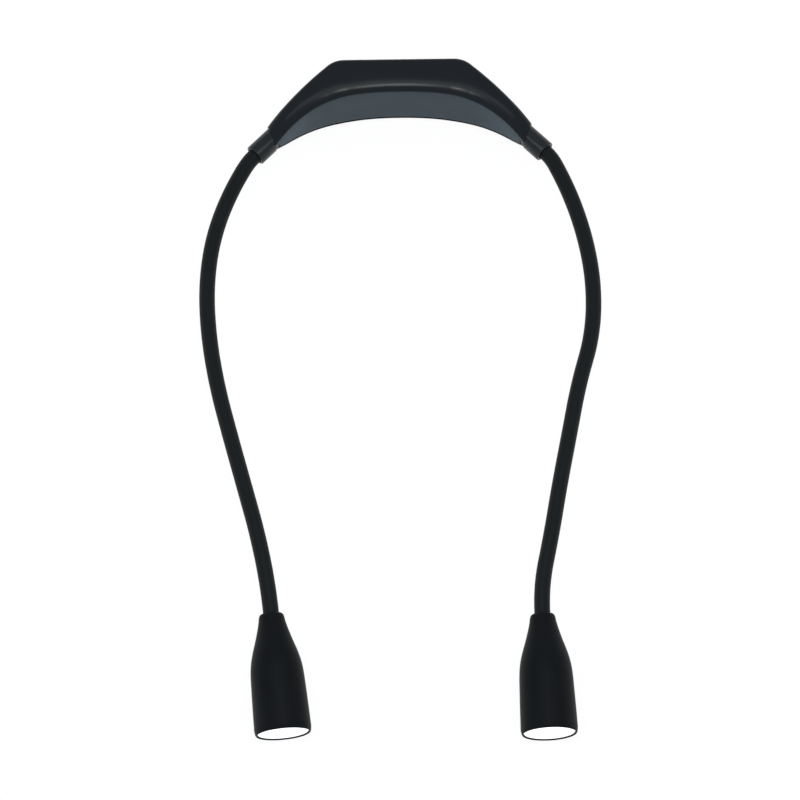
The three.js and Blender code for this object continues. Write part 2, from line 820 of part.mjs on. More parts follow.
// One link: a round ball where it turns in the link before, a bent tube, and a round cup for the next ball.
function linkSolid(bend, length, isFirst, isLast) {
  const { radius, jointGap, crimpInset } = tube;
  const start = linkFrame(bend, 0, length);
  const end = linkFrame(bend, length, length);
  const crimp = radius - crimpInset;
  const point = crimpInset / tube.sides;
  const rings = [];
  if (isFirst) {
    const depth = tubeEnd.inCollar;
    rings.push(ring(start, -depth, crimp), ring(start, -crimpInset, crimp), ring(start, 0, radius));
  } else {
    for (const degrees of [0, 45, 90]) {
      const angle = degrees * DEG;
      rings.push(ring(start, -radius * Math.cos(angle), Math.max(point, radius * Math.sin(angle))));
    }
  }
  const cup = radius + jointGap;
  const rim = Math.asin(radius / cup);
  const reach = isLast ? length : length - cup * Math.cos(rim);
  const spans = Math.max(2, Math.round(Math.abs(bend.length() / DEG) / 8));
  for (let i = 1; i < spans; i++) {
    rings.push(ring(linkFrame(bend, (reach * i) / spans, length), 0, radius));
  }
  if (isLast) {
    rings.push(ring(end, 0, radius), ring(end, crimpInset, crimp), ring(end, tubeEnd.inHead, crimp));
  } else {
    for (const share of [1, 0.5, 0]) {
      const angle = share * rim;
      rings.push(ring(end, -cup * Math.cos(angle), Math.max(point, cup * Math.sin(angle))));
    }
  }
  return loft(rings);
}

// The lowest point of a lamp's rim when its arm is lifted by a given rise.
function rimHeight(name, rise) {
  const frame = collarFrame(SIDES[name]).multiply(new THREE.Matrix4().makeTranslation(0, collar.length, 0));
  for (let i = 0; i < tube.links; i++) {
    const length = lengthOf(i);
    frame.multiply(linkFrame(linkBend(arms[name], i, rise), length, length));
  }
  const axis = new THREE.Vector3().setFromMatrixColumn(frame, 1);
  const mouth = new THREE.Vector3(0, head.length, 0).applyMatrix4(frame);
  return mouth.z - (head.mouthRadius - head.rimRound) * Math.sqrt(1 - axis.z ** 2) - head.rimRound;
}

// The rise that rests the lamp's rim on the same table as the housing's side face, found by halving.
function restingRise(name) {
  let [low, high] = [-20 * DEG, 20 * DEG];
  for (let i = 0; i < 40; i++) {
    const middle = (low + high) / 2;
    if (rimHeight(name, middle) < sideFace) low = middle;
    else high = middle;
  }
  return low;
}

// The whole arm as nested groups: each link turns at its own group's origin.
function gooseneck(name) {
  const base = new THREE.Group();
  collarFrame(SIDES[name]).decompose(base.position, base.quaternion, base.scale);
  base.translateY(collar.length);
  const rise = restingRise(name);
  let joint = base;
  for (let i = 0; i < tube.links; i++) {
    const bend = linkBend(arms[name], i, rise);
    const number = String(i + 1).padStart(2, "0");
    const length = lengthOf(i);
    const made = linkSolid(bend, length, i === 0, i === tube.links - 1);
    joint.add(mesh(`${name}_gooseneck_${number}`, made, finish.tube));
    const next = new THREE.Group();
    linkFrame(bend, length, length).decompose(next.position, next.quaternion, next.scale);
    joint.add(next);
    joint = next;
  }
  joint.add(...lampHead(name));
  return base;
}

// Lamp head, turned about +Y from its neck at the origin to its mouth

function headOutline() {
  const shares = [...head.profileShares, [1, 1]];
  const points = shares.map(([along, wide]) => new THREE.Vector2(wide * head.mouthRadius, along * head.length));
  return new THREE.SplineCurve(points);
}

const outline = headOutline();

// The outer radius at a distance along the head.
function headRadius(along) {
  let [low, high] = [0, 1];
  for (let i = 0; i < 30; i++) {
    const middle = (low + high) / 2;
    if (outline.getPoint(middle).y < along) low = middle;
    else high = middle;
  }
  return outline.getPoint(low).x;
}

// Places along the head, from the mouth backwards
const lensFront = head.length - lens.inset;
const lensBack = lensFront - lens.thickness;
const ringFront = lensBack - fit.gap;
const ringBack = ringFront - lensRing.length;
const bowlFront = ringBack - fit.gap;
const bowlBack = bowlFront - reflector.length;
const ledFace = bowlBack - fit.gap;
const sinkFront = ledFace - ledBoard.thickness - fit.gap;
const sinkBack = sinkFront - heatSink.length;
const mouthBore = head.mouthRadius - head.wall;

function headShell() {
  const { length, mouthRadius, wall, neckFlatRadius, neckRound, rimRound, boreLength, sides, spans } = head;
  const bore = tube.radius + fit.gap;
  const neckRadius = neckFlatRadius + neckRound;
  const ferruleRoom = ferruleRadius() + fit.gap;
  const profile = [[bore, 0], [neckFlatRadius, 0]];
  for (const degrees of [45, 90]) {
    const angle = degrees * DEG;
    profile.push([neckFlatRadius + neckRound * Math.sin(angle), neckRound * (1 - Math.cos(angle))]);
  }
  for (let i = 0; i < spans; i++) {
    const { x, y } = outline.getPoint(i / spans);
    if (x > neckRadius) profile.push([x, y]);
  }
  profile.push([mouthRadius, length - rimRound], [mouthRadius - rimRound, length], [mouthBore, length]);
  profile.push([mouthBore, sinkFront]);
  for (const share of [1, 0.5, 0]) {
    const along = boreLength + ferrule.length + fit.gap + share * (sinkBack - boreLength - ferrule.length);
    profile.push([Math.max(headRadius(along) - wall, ferruleRoom), along]);
  }
  profile.push([ferruleRoom, boreLength], [bore, boreLength], [bore, 0]);
  return revolved(profile, sides);
}

function ferruleRadius() {
  return tube.radius - tube.crimpInset + fit.gap + ferrule.thickness;
}

function crimpFerrule() {
  const from = head.boreLength + fit.gap;
  const to = from + ferrule.length;
  const hole = tube.radius - tube.crimpInset + fit.gap;
  const wide = ferruleRadius();
  const { chamfer } = ferrule;
  return revolved(
    [
      [hole, from],
      [wide, from],
      [wide, to - chamfer],
      [wide - chamfer, to],
      [hole, to],
      [hole, from],
    ],
    16,
  );
}

function lensDisc() {
  const wide = mouthBore - fit.gap;
  const { edgeRound } = lens;
  const front = lensFront;
  return revolved([[0, lensBack], [wide, lensBack], [wide, front - edgeRound], [wide - edgeRound, front], [0, front]], head.sides);
}

function retainingRing() {
  const wide = mouthBore - fit.gap;
  const hole = wide - lensRing.width;
  return revolved([[hole, ringBack], [wide, ringBack], [wide, ringFront], [hole, ringFront], [hole, ringBack]], 16);
}

// The bowl opens from the LED to the ring as a parabola.
function reflectorBowl() {
  const { wall, throatRadius, length } = reflector;
  const mouth = mouthBore - fit.gap - wall;
  const inside = [0, 0.15, 0.5, 1].map((share) => [
    throatRadius + (mouth - throatRadius) * Math.sqrt(share),
    bowlBack + share * length,
  ]);
  const outside = inside.map(([r, along]) => [r + wall, along]).reverse();
  return revolved([...inside, ...outside, inside[0]], 18);
}

function ledBoardDisc() {
  const { radius, thickness, ledRadius, ledHeight } = ledBoard;
  return revolved(
    [
      [0, ledFace - thickness],
      [radius, ledFace - thickness],
      [radius, ledFace],
      [ledRadius, ledFace],
      [ledRadius, ledFace + ledHeight / 2],
      [ledRadius / 2, ledFace + ledHeight],
      [0, ledFace + ledHeight],
    ],
    16,
  );
}

function finnedSink() {
  const { length, fins, finShare, finDepth, boreRadius } = heatSink;
  const wide = headRadius(sinkBack) - head.wall - fit.gap;
  const pitch = length / (fins - 1 + finShare);
  const profile = [[boreRadius, sinkBack]];
  for (let i = 0; i < fins; i++) {
    const from = sinkBack + i * pitch;
    const to = from + pitch * finShare;
    if (i > 0) profile.push([wide - finDepth, from]);
    profile.push([wide, from], [wide, to]);
    if (i < fins - 1) profile.push([wide - finDepth, to]);
  }
  profile.push([boreRadius, sinkFront], [boreRadius, sinkBack]);
  return revolved(profile, 12);
}

function lampHead(name) {
  const leadStart = tubeEnd.inHead + fit.gap;
  const leadEnd = sinkFront;
  return [
    mesh(`${name}_head_shell`, headShell(), finish.head),
    mesh(`${name}_ferrule`, crimpFerrule(), finish.brass),
    mesh(`${name}_head_lead`, rod(lead.radius, leadStart, leadEnd, 8), finish.lead),
    mesh(`${name}_heat_sink`, finnedSink(), finish.aluminium),
    mesh(`${name}_led_board`, ledBoardDisc(), finish.aluminium),
    mesh(`${name}_reflector`, reflectorBowl(), finish.reflector),
    mesh(`${name}_retaining_ring`, retainingRing(), finish.head),
    mesh(`${name}_lens`, lensDisc(), finish.lens),
  ];
}

// The whole light, stood on its lowest point with the middle of its outline over the origin
function neckReadingLight() {
  const light = new THREE.Group();
  light.add(outerShell(), innerCover(), neckPad(), ...coverScrews());
  light.add(mainBoard(), batteryCell(), usbCSocket(), chargeLightPipe());
  light.add(...tactSwitches(), ...powerButtons());
  for (const [name, side] of Object.entries(SIDES)) {
    light.add(collarPiece(name, side), leadPiece(name, side), gooseneck(name));
  }
  light.updateMatrixWorld(true);
  const extent = new THREE.Box3().setFromObject(light, true);
  const middle = extent.getCenter(new THREE.Vector3());
  light.position.set(-middle.x, -middle.y, -extent.min.z);
  return light;
}

export default neckReadingLight();
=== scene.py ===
# Neck reading light: skins, finishes and studio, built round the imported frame. Lengths are in metres.
import json
import math
from types import SimpleNamespace

import bmesh
import bpy
import numpy as np
from bpy.props import FloatProperty, FloatVectorProperty, IntProperty, PointerProperty, StringProperty
from bpy.types import Operator, Panel, PropertyGroup
from mathutils import Matrix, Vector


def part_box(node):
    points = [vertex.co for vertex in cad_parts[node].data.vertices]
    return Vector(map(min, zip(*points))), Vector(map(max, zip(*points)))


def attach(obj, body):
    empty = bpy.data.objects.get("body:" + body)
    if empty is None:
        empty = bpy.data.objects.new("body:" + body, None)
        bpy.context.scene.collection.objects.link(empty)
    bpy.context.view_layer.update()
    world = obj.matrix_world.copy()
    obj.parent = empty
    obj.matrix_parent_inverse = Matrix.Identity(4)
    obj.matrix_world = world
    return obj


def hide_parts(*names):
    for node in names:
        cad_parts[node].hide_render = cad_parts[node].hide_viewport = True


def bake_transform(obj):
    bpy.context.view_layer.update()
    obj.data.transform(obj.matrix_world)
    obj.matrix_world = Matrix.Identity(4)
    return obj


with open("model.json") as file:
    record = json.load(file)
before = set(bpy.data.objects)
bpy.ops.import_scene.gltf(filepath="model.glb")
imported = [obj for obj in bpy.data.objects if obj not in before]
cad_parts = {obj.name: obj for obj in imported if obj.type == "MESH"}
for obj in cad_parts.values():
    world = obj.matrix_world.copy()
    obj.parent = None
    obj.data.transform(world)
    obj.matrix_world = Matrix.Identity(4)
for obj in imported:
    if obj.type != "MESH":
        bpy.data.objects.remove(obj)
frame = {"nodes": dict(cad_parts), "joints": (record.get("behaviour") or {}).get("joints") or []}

bl_info = {
    "name": "Neck Reading Light",
    "version": (1, 0, 0),
    "blender": (4, 5, 0),
    "location": "3D Viewport > Sidebar > Neck Light",
    "description": "Builds the skins, finishes and studio of a neck reading light round its frame",
    "category": "Add Mesh",
}

MM = 0.001
SIDES = {"left": -1, "right": 1}


# Settings that a user would change


def length(name, description, millimetres):
    return FloatProperty(name=name, description=description, default=millimetres * MM, unit="LENGTH", precision=5)


def share(name, description, value):
    return FloatProperty(name=name, description=description, default=value, min=0, max=1, subtype="FACTOR")


def angle(name, description, degrees):
    return FloatProperty(name=name, description=description, default=math.radians(degrees), subtype="ANGLE")


def colour(name, description, code):
    return StringProperty(name=name, description=description, default=code)


class HousingSettings(PropertyGroup):
    depth: length("Depth", "Height of the lying housing at its middle", 37.2)
    end_depth: length("End depth", "Height of the lying housing at the collars", 14)
    thickness: length("Thickness", "From the hollow front to the flat back at the middle", 16.4)
    back_half_width: length("Back half width", "From the middle to where flat back and slanted side would meet", 31.3)
    back_blend: length("Back blend", "Reach of the rounded corner between back and side", 5)
    outer_half_width: length("Outer half width", "From the middle to the outer end corner", 63.3)
    outer_drop: length("Outer drop", "From the flat back to the outer end corner", 28.6)
    side_bow: length("Side bow", "How far the slanted side swells", 0.65)
    inner_half_width: length("Inner half width", "From the middle to the inner end corner", 59.4)
    inner_drop: length("Inner drop", "From the hollow's deepest point to the inner end corner", 21.8)
    inner_mid_reach: length("Middle handle", "Handle of the hollow's curve at the middle", 33.8)
    inner_end_reach: length("End handle", "Handle of the hollow's curve at the ends", 20.6)
    inner_end_slope: angle("End slope", "Slope of the hollow's curve at the ends", 44)
    hold_share: share("Depth hold", "Share of the half width that keeps the full depth", 0.36)
    taper_power: FloatProperty(name="Depth taper", description="Power of the depth's taper", default=1.74)
    wall: length("Wall", "Thickness of the shell's wall", 2)
    back_round: length("Back rounding", "Radius along the back edges", 2.5)
    front_round: length("Front rounding", "Height of the soft front edges at the middle", 3.3)
    crown: length("Crown", "How far behind the front the soft front edges start", 9.5)
    crown_share: share("Crown at the ends", "Largest share of the thickness that the crown takes", 0.58)
    crown_power: FloatProperty(name="Crown power", description="2 is an ellipse; less slopes sooner", default=1.65)
    end_round: length("End rounding", "Radius along the edges at the collars", 3.5)
    end_dip: length("End dip", "How much lower the shell's ends are, to meet the collars", 1.3)
    dip_from: share("Dip start", "Share of the half width at which the ends start to dip", 0.86)
    end_edge: length("End edge", "Rounding where the sides meet the end faces", 0.12)
    stations: IntProperty(name="Stations", description="Slices along the housing", default=200, min=20)
    finish: colour("Shell colour", "Moulded satin plastic", "#202427")


class PadSettings(PropertyGroup):
    rim: length("Rim", "Shell's rim beside the pad at the middle", 3.65)
    end_rim_extra: length("Extra end rim", "How much wider the rim is at the tips", 2.7)
    rim_power: FloatProperty(name="Rim power", description="How late the rim widens", default=6)
    end_share: share("Reach", "Share of the half width that the pad reaches", 0.97)
    thickness: length("Thickness", "Pad thickness at the middle", 1.8)
    tip_thickness: length("Tip thickness", "Pad thickness at its tips", 0.9)
    proud: length("Proud", "How far the pad stands out of the rim", 0.35)
    gap: length("Gap", "Air round the pad's edge", 0.3)
    lip: length("Lip", "Rounding of the rim's edge beside the pad", 0.06)
    cover_share: share("Cover reach", "Share of the half width that the hard cover reaches", 0.84)
    cover_thickness: length("Cover thickness", "Thickness of the hard cover behind the pad", 1.6)
    cover_ledge: length("Ledge", "How far the shell reaches under the cover's edge", 1.4)
    room_share: share("Room reach", "Share of the half width that the hollow room reaches", 0.8)
    finish: colour("Pad colour", "Closed-cell foam with a rubber skin", "#4A565B")


class CollarSettings(PropertyGroup):
    radius: length("Radius", "Outer radius of a collar", 5.25)
    length: length("Length", "Length of a collar from the housing's end face", 11.7)
    inset: length("Inset", "From the middle of the end face to the collar's axis", 0.6)
    slant: angle("Slant", "Angle between a collar and straight ahead", 45)
    lip_round: length("Lip rounding", "Rounding of the collar's lip", 0.5)
    socket_depth: length("Socket depth", "Depth of the gooseneck's socket", 8)
    gap: length("Gap", "Air round the sleeve in its socket", 0.3)
    seam: length("Seam", "Air between a collar and the housing's end face", 0.06)
    finish: colour("Collar colour", "Polished plastic", "#202426")


class GooseneckSettings(PropertyGroup):
    radius: length("Radius", "Radius of the rubber sleeve", 3.75)
    crimp: length("Crimp", "How much thinner the crimped ends are", 0.25)
    exit: length("Exit length", "Length of sleeve from the collar to the first bending point", 8)
    link: length("Link length", "Length of sleeve between two bending points", 26.06)
    in_collar: length("In the collar", "Length hidden in the collar", 7.7)
    in_head: length("In the head", "Length hidden in the lamp head", 14)
    ring_step: length("Ring step", "Distance between two rings of the skin", 0.8)
    left_rise: angle("Left rise", "Lift of the left arm's first stretch", 1.73388)
    right_rise: angle("Right rise", "Lift of the right arm's first stretch", 0.80358)
    left_dip: angle("Left dip", "How far the left lamp looks down", 6.9)
    right_dip: angle("Right dip", "How far the right lamp looks down", 5.3)
    finish: colour("Sleeve colour", "Extruded silicone rubber", "#161A1B")


class HeadSettings(PropertyGroup):
    length: length("Length", "Length of a lamp head", 57.5)
    mouth_radius: length("Mouth radius", "Outer radius at the mouth", 13.4)
    wall: length("Wall", "Thickness of the shell's wall", 1.1)
    neck_flat: length("Neck flat", "Radius of the flat ring at the neck", 4.3)
    neck_round: length("Neck rounding", "Rounding of the neck's edge", 1.6)
    rim_round: length("Rim rounding", "Rounding of the rim, across", 0.8)
    rim_roll: length("Rim roll", "Rounding of the rim, along the head", 4)
    bore: length("Bore", "Radius of the bore that takes the sleeve", 4.05)
    bore_length: length("Bore length", "Length of that bore", 6.7)
    lens_inset: length("Lens inset", "How far the lens lies behind the rim", 0.5)
    lens_thickness: length("Lens thickness", "Thickness of the lens", 1.4)
    lens_gap: length("Lens gap", "Air round the lens", 0.3)
    lens_dome: length("Lens dome", "How far the middle of the lens bulges", 0.1)
    finish: colour("Head colour", "Soft-touch painted plastic", "#15181A")
    glow: FloatProperty(name="Glow", description="Brightness of the lit lens", default=1.0)


class ControlSettings(PropertyGroup):
    button_radius: length("Button radius", "Radius of a push button", 4.5)
    button_spread: length("Button spread", "From the middle to each button", 14)
    button_proud: length("Button proud", "How far a button stands out of the back", 0.8)
    button_dish: length("Button dish", "Depth of the finger dish", 0.25)
    button_gap: length("Button gap", "Air round a button", 0.3)
    port_width: length("Port width", "Outer width of the charging socket", 9)
    port_height: length("Port height", "Outer height of the charging socket", 3.2)
    port_wall: length("Port wall", "Sheet thickness of the charging socket", 0.4)
    pipe_radius: length("Light pipe radius", "Radius of the charge light's pipe", 1.1)
    finish: colour("Button colour", "Moulded silicone", "#232629")


class StudioSettings(PropertyGroup):
    elevation: angle("Elevation", "Camera's height above the table, as in the photograph", 68)
    roll: angle("Roll", "Camera's turn about its own line of sight", 0.75)
    distance: FloatProperty(name="Distance", description="Camera to target", default=3.5, unit="LENGTH")
    pixel: length("Pixel", "Size of one picture element at the target", 0.4717)
    target: FloatVectorProperty(
        name="Target", description="Point that the camera looks at",
        default=(-0.000763, -0.001874, 0.020), subtype="TRANSLATION", unit="LENGTH", precision=6)
    sky: FloatProperty(name="Sky", description="Strength of the even light from all round", default=0.52)
    wall_low: share("Wall top", "Height of the sight line up to which the studio's wall is white", 0.12)
    wall_high: share("Ceiling", "Height of the sight line from which the ceiling is dim", 0.4)
    light_height: FloatProperty(name="Light height", description="Above the table", default=1.25, unit="LENGTH")
    panel_power: FloatProperty(name="Panel", description="Power of the wide overhead panel", default=2.7, unit="POWER")
    panel_width: FloatProperty(name="Panel width", description="Along the housing", default=1.3, unit="LENGTH")
    panel_depth: FloatProperty(name="Panel depth", description="Across the housing", default=0.3, unit="LENGTH")
    panel_tilt: angle("Panel tilt", "From straight above towards the camera", 2.3)
    key_power: FloatProperty(name="Key", description="Power of the small softbox", default=1.6, unit="POWER")
    key_width: FloatProperty(name="Key width", description="Along the housing", default=0.16, unit="LENGTH")
    key_depth: FloatProperty(name="Key depth", description="Across the housing", default=0.08, unit="LENGTH")
    key_side: FloatProperty(name="Key side", description="To the right", default=0.02, unit="LENGTH")
    key_tilt: angle("Key tilt", "From straight above towards the camera", 11)
    floor_glow: share("Floor glow", "Part of the white ground that no shadow reaches", 0.93)
    floor_matt: share("Floor matt", "Part of the white ground that takes a shadow", 0.12)


class NeckLightSettings(PropertyGroup):
    housing: PointerProperty(type=HousingSettings, name="Housing")
    pad: PointerProperty(type=PadSettings, name="Pad")
    collar: PointerProperty(type=CollarSettings, name="Collar")
    gooseneck: PointerProperty(type=GooseneckSettings, name="Gooseneck")
    head: PointerProperty(type=HeadSettings, name="Head")
    control: PointerProperty(type=ControlSettings, name="Controls")
    studio: PointerProperty(type=StudioSettings, name="Studio")


# The bend of each stretch of sleeve as the photograph shows it, in degrees about the table's normal
ARM_TURNS = {
    "left": (14.9, 10.5, 12.4, 9.7, 6.2, 4.8, 0.7, 0, -3.6, -5.2),
    "right": (-19.1, -8.7, -8.7, -11, -13.6, 5.2, -0.3, 1.4, -2.2, 14.2),
}
RISE_LINK = 1
DIP_LINKS = (8, 9)

# The head's outline: shares of its length and of its mouth's radius
HEAD_OUTLINE = (
    (0.045, 0.45), (0.113, 0.519), (0.212, 0.64), (0.313, 0.78), (0.405, 0.88),
    (0.5, 0.93), (0.65, 0.957), (0.82, 0.982), (1.0, 1.0),
)


# Meshes from arrays


def grid_faces(rows, columns, closed=True):
    """Four corners per face, from each point to its neighbours in the next column and the next row."""
    row, column = np.meshgrid(np.arange(rows - 1), np.arange(columns if closed else columns - 1), indexing="ij")
    a = row * columns + column
    b = row * columns + (column + 1) % columns
    return np.stack([a, b, b + columns, a + columns], -1).reshape(-1, 4)


def piece(name, points, caps=True, sharp=38, joined=1e-8):
    """Skin over a grid of loops, shaped (rows, columns, 3), with a flat cap on the first and the last loop."""
    rows, columns = points.shape[:2]
    faces = grid_faces(rows, columns).tolist()
    if caps:
        faces += [list(range(columns))[::-1], list(range((rows - 1) * columns, rows * columns))]
    return solid(name, points.reshape(-1, 3), faces, sharp, joined)


def solid(name, points, faces, sharp=38, joined=1e-8):
    """Mesh object from points and faces, with its doubles merged, faces outwards and edges sharp past an angle."""
    mesh = bpy.data.meshes.new(name)
    mesh.from_pydata(points.tolist(), [], faces)
    made = bpy.data.objects.new(name, mesh)
    bpy.context.scene.collection.objects.link(made)
    tidy(mesh, sharp, joined)
    return made


def tidy(mesh, sharp, joined=1e-8):
    work = bmesh.new()
    work.from_mesh(mesh)
    bmesh.ops.remove_doubles(work, verts=work.verts, dist=max(joined, 1e-7))
    bmesh.ops.dissolve_degenerate(work, edges=work.edges, dist=1e-7)
    bmesh.ops.recalc_face_normals(work, faces=work.faces)
    work.to_mesh(mesh)
    work.free()
    mesh.polygons.foreach_set("use_smooth", np.ones(len(mesh.polygons), bool))
    mesh.set_sharp_from_angle(angle=math.radians(sharp))
    mesh.update()


def lathe(name, profile, matrix=None, sides=96, sharp=38):
    """Profile of (radius, along) pairs turned about +Y: x is r cos a, y is along and z is -r sin a."""
    radius, along = np.asarray(profile, float).T
    turn = np.linspace(0, 2 * np.pi, sides, endpoint=False)
    points = np.stack(
        [radius[:, None] * np.cos(turn), np.repeat(along[:, None], sides, 1), -radius[:, None] * np.sin(turn)], -1)
    return piece(name, placed(points, matrix), caps=False, sharp=sharp)


def placed(points, matrix):
    """Points times a 4 by 4 matrix: turned by its first three columns, then moved by its last."""
    if matrix is None:
        return points
    return points @ matrix[:3, :3].T + matrix[:3, 3]


def corner(centre, radii, start, stop, steps, power=2.0):
    """Arc in the (along, up) plane: centre plus (wide C, tall S) for angles a from start to stop.

    C and S are cos a and sin a, each raised to 2 / power with its sign kept. Power 2 is an ellipse, and a lower power
    slopes sooner and turns less at the arc's middle."""
    turn = np.radians(np.linspace(start, stop, steps + 1))
    across, up = (np.sign(v) * np.abs(v) ** (2 / power) for v in (np.cos(turn), np.sin(turn)))
    wide, tall = radii
    x = centre[0][:, None] + wide[:, None] * across
    y = centre[1][:, None] + tall[:, None] * up
    return np.stack([x, y], -1)


def drill(target, cutters):
    """Takes the cutters' shapes out of target, for good, and removes the cutters."""
    for cutter in cutters:
        cut = target.modifiers.new("cut", "BOOLEAN")
        cut.operation = "DIFFERENCE"
        cut.solver = "EXACT"
        cut.object = cutter
        bpy.context.view_layer.objects.active = target
        bpy.ops.object.modifier_apply(modifier=cut.name)
        bpy.data.objects.remove(cutter)
    tidy(target.data, 32)


def paint(made, name, value):
    """Point attribute from a function that takes all points at once."""
    points = np.empty(len(made.data.vertices) * 3)
    made.data.vertices.foreach_get("co", points)
    layer = made.data.attributes.new(name, "FLOAT", "POINT")
    layer.data.foreach_set("value", value(points.reshape(-1, 3)).astype(np.float32))


def dress(made, body, finish, nodes=()):
    """Gives a piece its body, its finish and the solids that it stands for."""
    made.data.materials.clear()
    made.data.materials.append(finish)
    if body:
        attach(made, body)
    if nodes:
        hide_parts(*nodes)
    return made


# The housing's plan


def bezier(handles, steps=400):
    """De Casteljau's curve: neighbouring handles are mixed by t until one point is left."""
    t = np.linspace(0, 1, steps)[:, None]
    rows = [np.asarray(h, float)[None, :] for h in handles]
    while len(rows) > 1:
        rows = [(1 - t) * a + t * b for a, b in zip(rows, rows[1:])]
    return rows[0]


def by_length(curve, shares):
    """Points at the given shares of a curve's length, read off against its running length."""
    run = np.concatenate([[0], np.cumsum(np.linalg.norm(np.diff(curve, axis=0), axis=1))])
    return np.stack([np.interp(shares * run[-1], run, c) for c in curve.T], -1)


def outer_plan(h):
    """Flat back, rounded corner and bowed side, each a curve that starts where the last one ends."""
    flat_end = np.array([h.back_half_width - h.back_blend, h.thickness])
    meet = np.array([h.back_half_width, h.thickness])
    end = np.array([h.outer_half_width, h.thickness - h.outer_drop])
    along = (end - meet) / np.linalg.norm(end - meet)
    side_start = meet + along * h.back_blend
    bulge = (side_start + end) / 2 + 2 * h.side_bow * np.array([-along[1], along[0]])
    parts = [bezier([(0, h.thickness), flat_end]), bezier([flat_end, meet, side_start]),
             bezier([side_start, bulge, end])]
    return np.concatenate([parts[0], parts[1][1:], parts[2][1:]])


def inner_plan(h):
    """One curve from the hollow's deepest point to the inner end corner."""
    end = np.array([h.inner_half_width, -h.inner_drop])
    back = h.inner_end_reach * np.array([-math.cos(h.inner_end_slope), math.sin(h.inner_end_slope)])
    return bezier([(0, 0), (h.inner_mid_reach, 0), end + back, end])


def stations(h, p, shares):
    """Slices at the given shares of the half width: where each starts, which way it reaches and its sizes."""
    place = np.minimum(np.abs(shares), 1)
    side = np.where(shares < 0, -1, 1)[:, None] * np.array([1, 0]) + np.array([0, 1])
    start = by_length(inner_plan(h), place) * side
    reach = by_length(outer_plan(h), place) * side - start
    thick = np.linalg.norm(reach, axis=1)
    taper = np.maximum(0, (place - h.hold_share) / (1 - h.hold_share)) ** h.taper_power
    half = (h.depth - (h.depth - h.end_depth) * taper) / 2
    pad_half = half - p.rim - p.end_rim_extra * place ** p.rim_power
    dip = h.end_dip * np.maximum(0, (place - h.dip_from) / (1 - h.dip_from)) ** 2
    return SimpleNamespace(place=place, start=start, inward=reach / thick[:, None], thick=thick, half=half - dip,
                           pad_half=pad_half)


def in_space(at, section, origin):
    """Section points (along, up) set out from each slice's start along its reach, with up along Z."""
    flat = at.start[:, None, :] + at.inward[:, None, :] * section[..., :1]
    return np.concatenate([flat, section[..., 1:]], -1) + origin


def housing_origin(h):
    """The hollow's deepest point at half height, found from the shell's own box."""
    low, high = (np.array(v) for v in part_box("outer_shell"))
    return np.array([(low[0] + high[0]) / 2, high[1] - h.thickness, (low[2] + high[2]) / 2])


def pad_depth(p, place):
    return p.tip_thickness + (p.thickness - p.tip_thickness) * (1 - place ** 4) - p.proud


def shell_section(h, p, at, to_end):
    """Rounded outside, then the rim's lip, the pad's pocket, the cover's ledge and the room behind it.

    Near an end face the outside shrinks by r - sqrt(r^2 - (r - d)^2), where d is the distance to that face."""
    r = h.end_edge
    shrink = r - np.sqrt(np.maximum(r * r - np.maximum(r - to_end, 0) ** 2, 0))
    mix = at.place ** 3
    front = h.front_round + (h.end_round - h.front_round) * mix
    back = h.back_round + (h.end_round - h.back_round) * mix
    near, far, half = shrink, at.thick - shrink, at.half - shrink
    crown = np.minimum(h.crown, at.thick * h.crown_share)
    outside = [
        corner((near + crown, front - half), (crown, front), 180, 270, 20, h.crown_power),
        corner((far - back, back - half), (back, back), 270, 360, 8),
        corner((far - back, half - back), (back, back), 0, 90, 8),
        corner((near + crown, half - front), (crown, front), 90, 180, 20, h.crown_power),
    ]
    in_pad = at.place < p.end_share
    lip = np.where(in_pad, p.lip, 0)
    pocket = np.where(in_pad, pad_depth(p, at.place) + p.gap, near)
    pocket_half = np.minimum(at.pad_half + p.gap, half - front - lip)
    ledge = np.where(at.place < p.cover_share, p.thickness - p.proud + 2 * p.gap + p.cover_thickness, pocket)
    room = np.where(at.place < p.room_share, at.thick - h.wall, ledge)
    room_half = at.pad_half - p.cover_ledge
    lip_arc = corner((near + lip, pocket_half + lip), (lip, lip), 180, 270, 3)
    steps = np.stack([
        np.stack([pocket, pocket_half], -1), np.stack([pocket, at.pad_half], -1),
        np.stack([ledge, at.pad_half], -1), np.stack([ledge, room_half], -1),
        np.stack([room, room_half], -1),
    ], 1)
    upper = np.concatenate([lip_arc, steps], 1)
    lower = upper[:, ::-1] * np.array([1, -1])
    return np.concatenate(outside + [upper, lower], 1)


def shell_shares(h, p):
    """Even shares, with close pairs where a pocket ends and close rows where the end edges round off."""
    even = np.linspace(-1, 1, h.stations + 1)
    ends = np.array([p.end_share, p.cover_share, p.room_share])
    pairs = np.concatenate([ends - 1e-5, ends + 1e-5])
    edge = 1 - h.end_edge / h.inner_half_width * (1 - np.cos(np.linspace(0, np.pi / 2, 5)))
    extra = np.concatenate([pairs, edge])
    return np.unique(np.concatenate([even, extra, -extra]))


def cylinder_cutter(centre, axis, radius, depth):
    """Closed rod from centre along axis, one length deep, to be cut away."""
    side = np.cross(axis, [1, 0, 0] if abs(axis[0]) < 0.9 else [0, 1, 0])
    side = side / np.linalg.norm(side)
    matrix = np.eye(4)
    matrix[:3, :3] = np.stack([side, axis, np.cross(side, axis)], -1)
    matrix[:3, 3] = centre
    return lathe("cutter", [(0, 0), (radius, 0), (radius, depth), (0, depth)], matrix, sides=64)


def stadium(width, height, count=48):
    """Outline with straight long sides and round ends: (a sign(cos t) + r cos t, r sin t)."""
    r = height / 2
    t = (np.arange(count) + 0.5) * 2 * np.pi / count
    return np.stack([(width / 2 - r) * np.sign(np.cos(t)) + r * np.cos(t), r * np.sin(t)], -1)


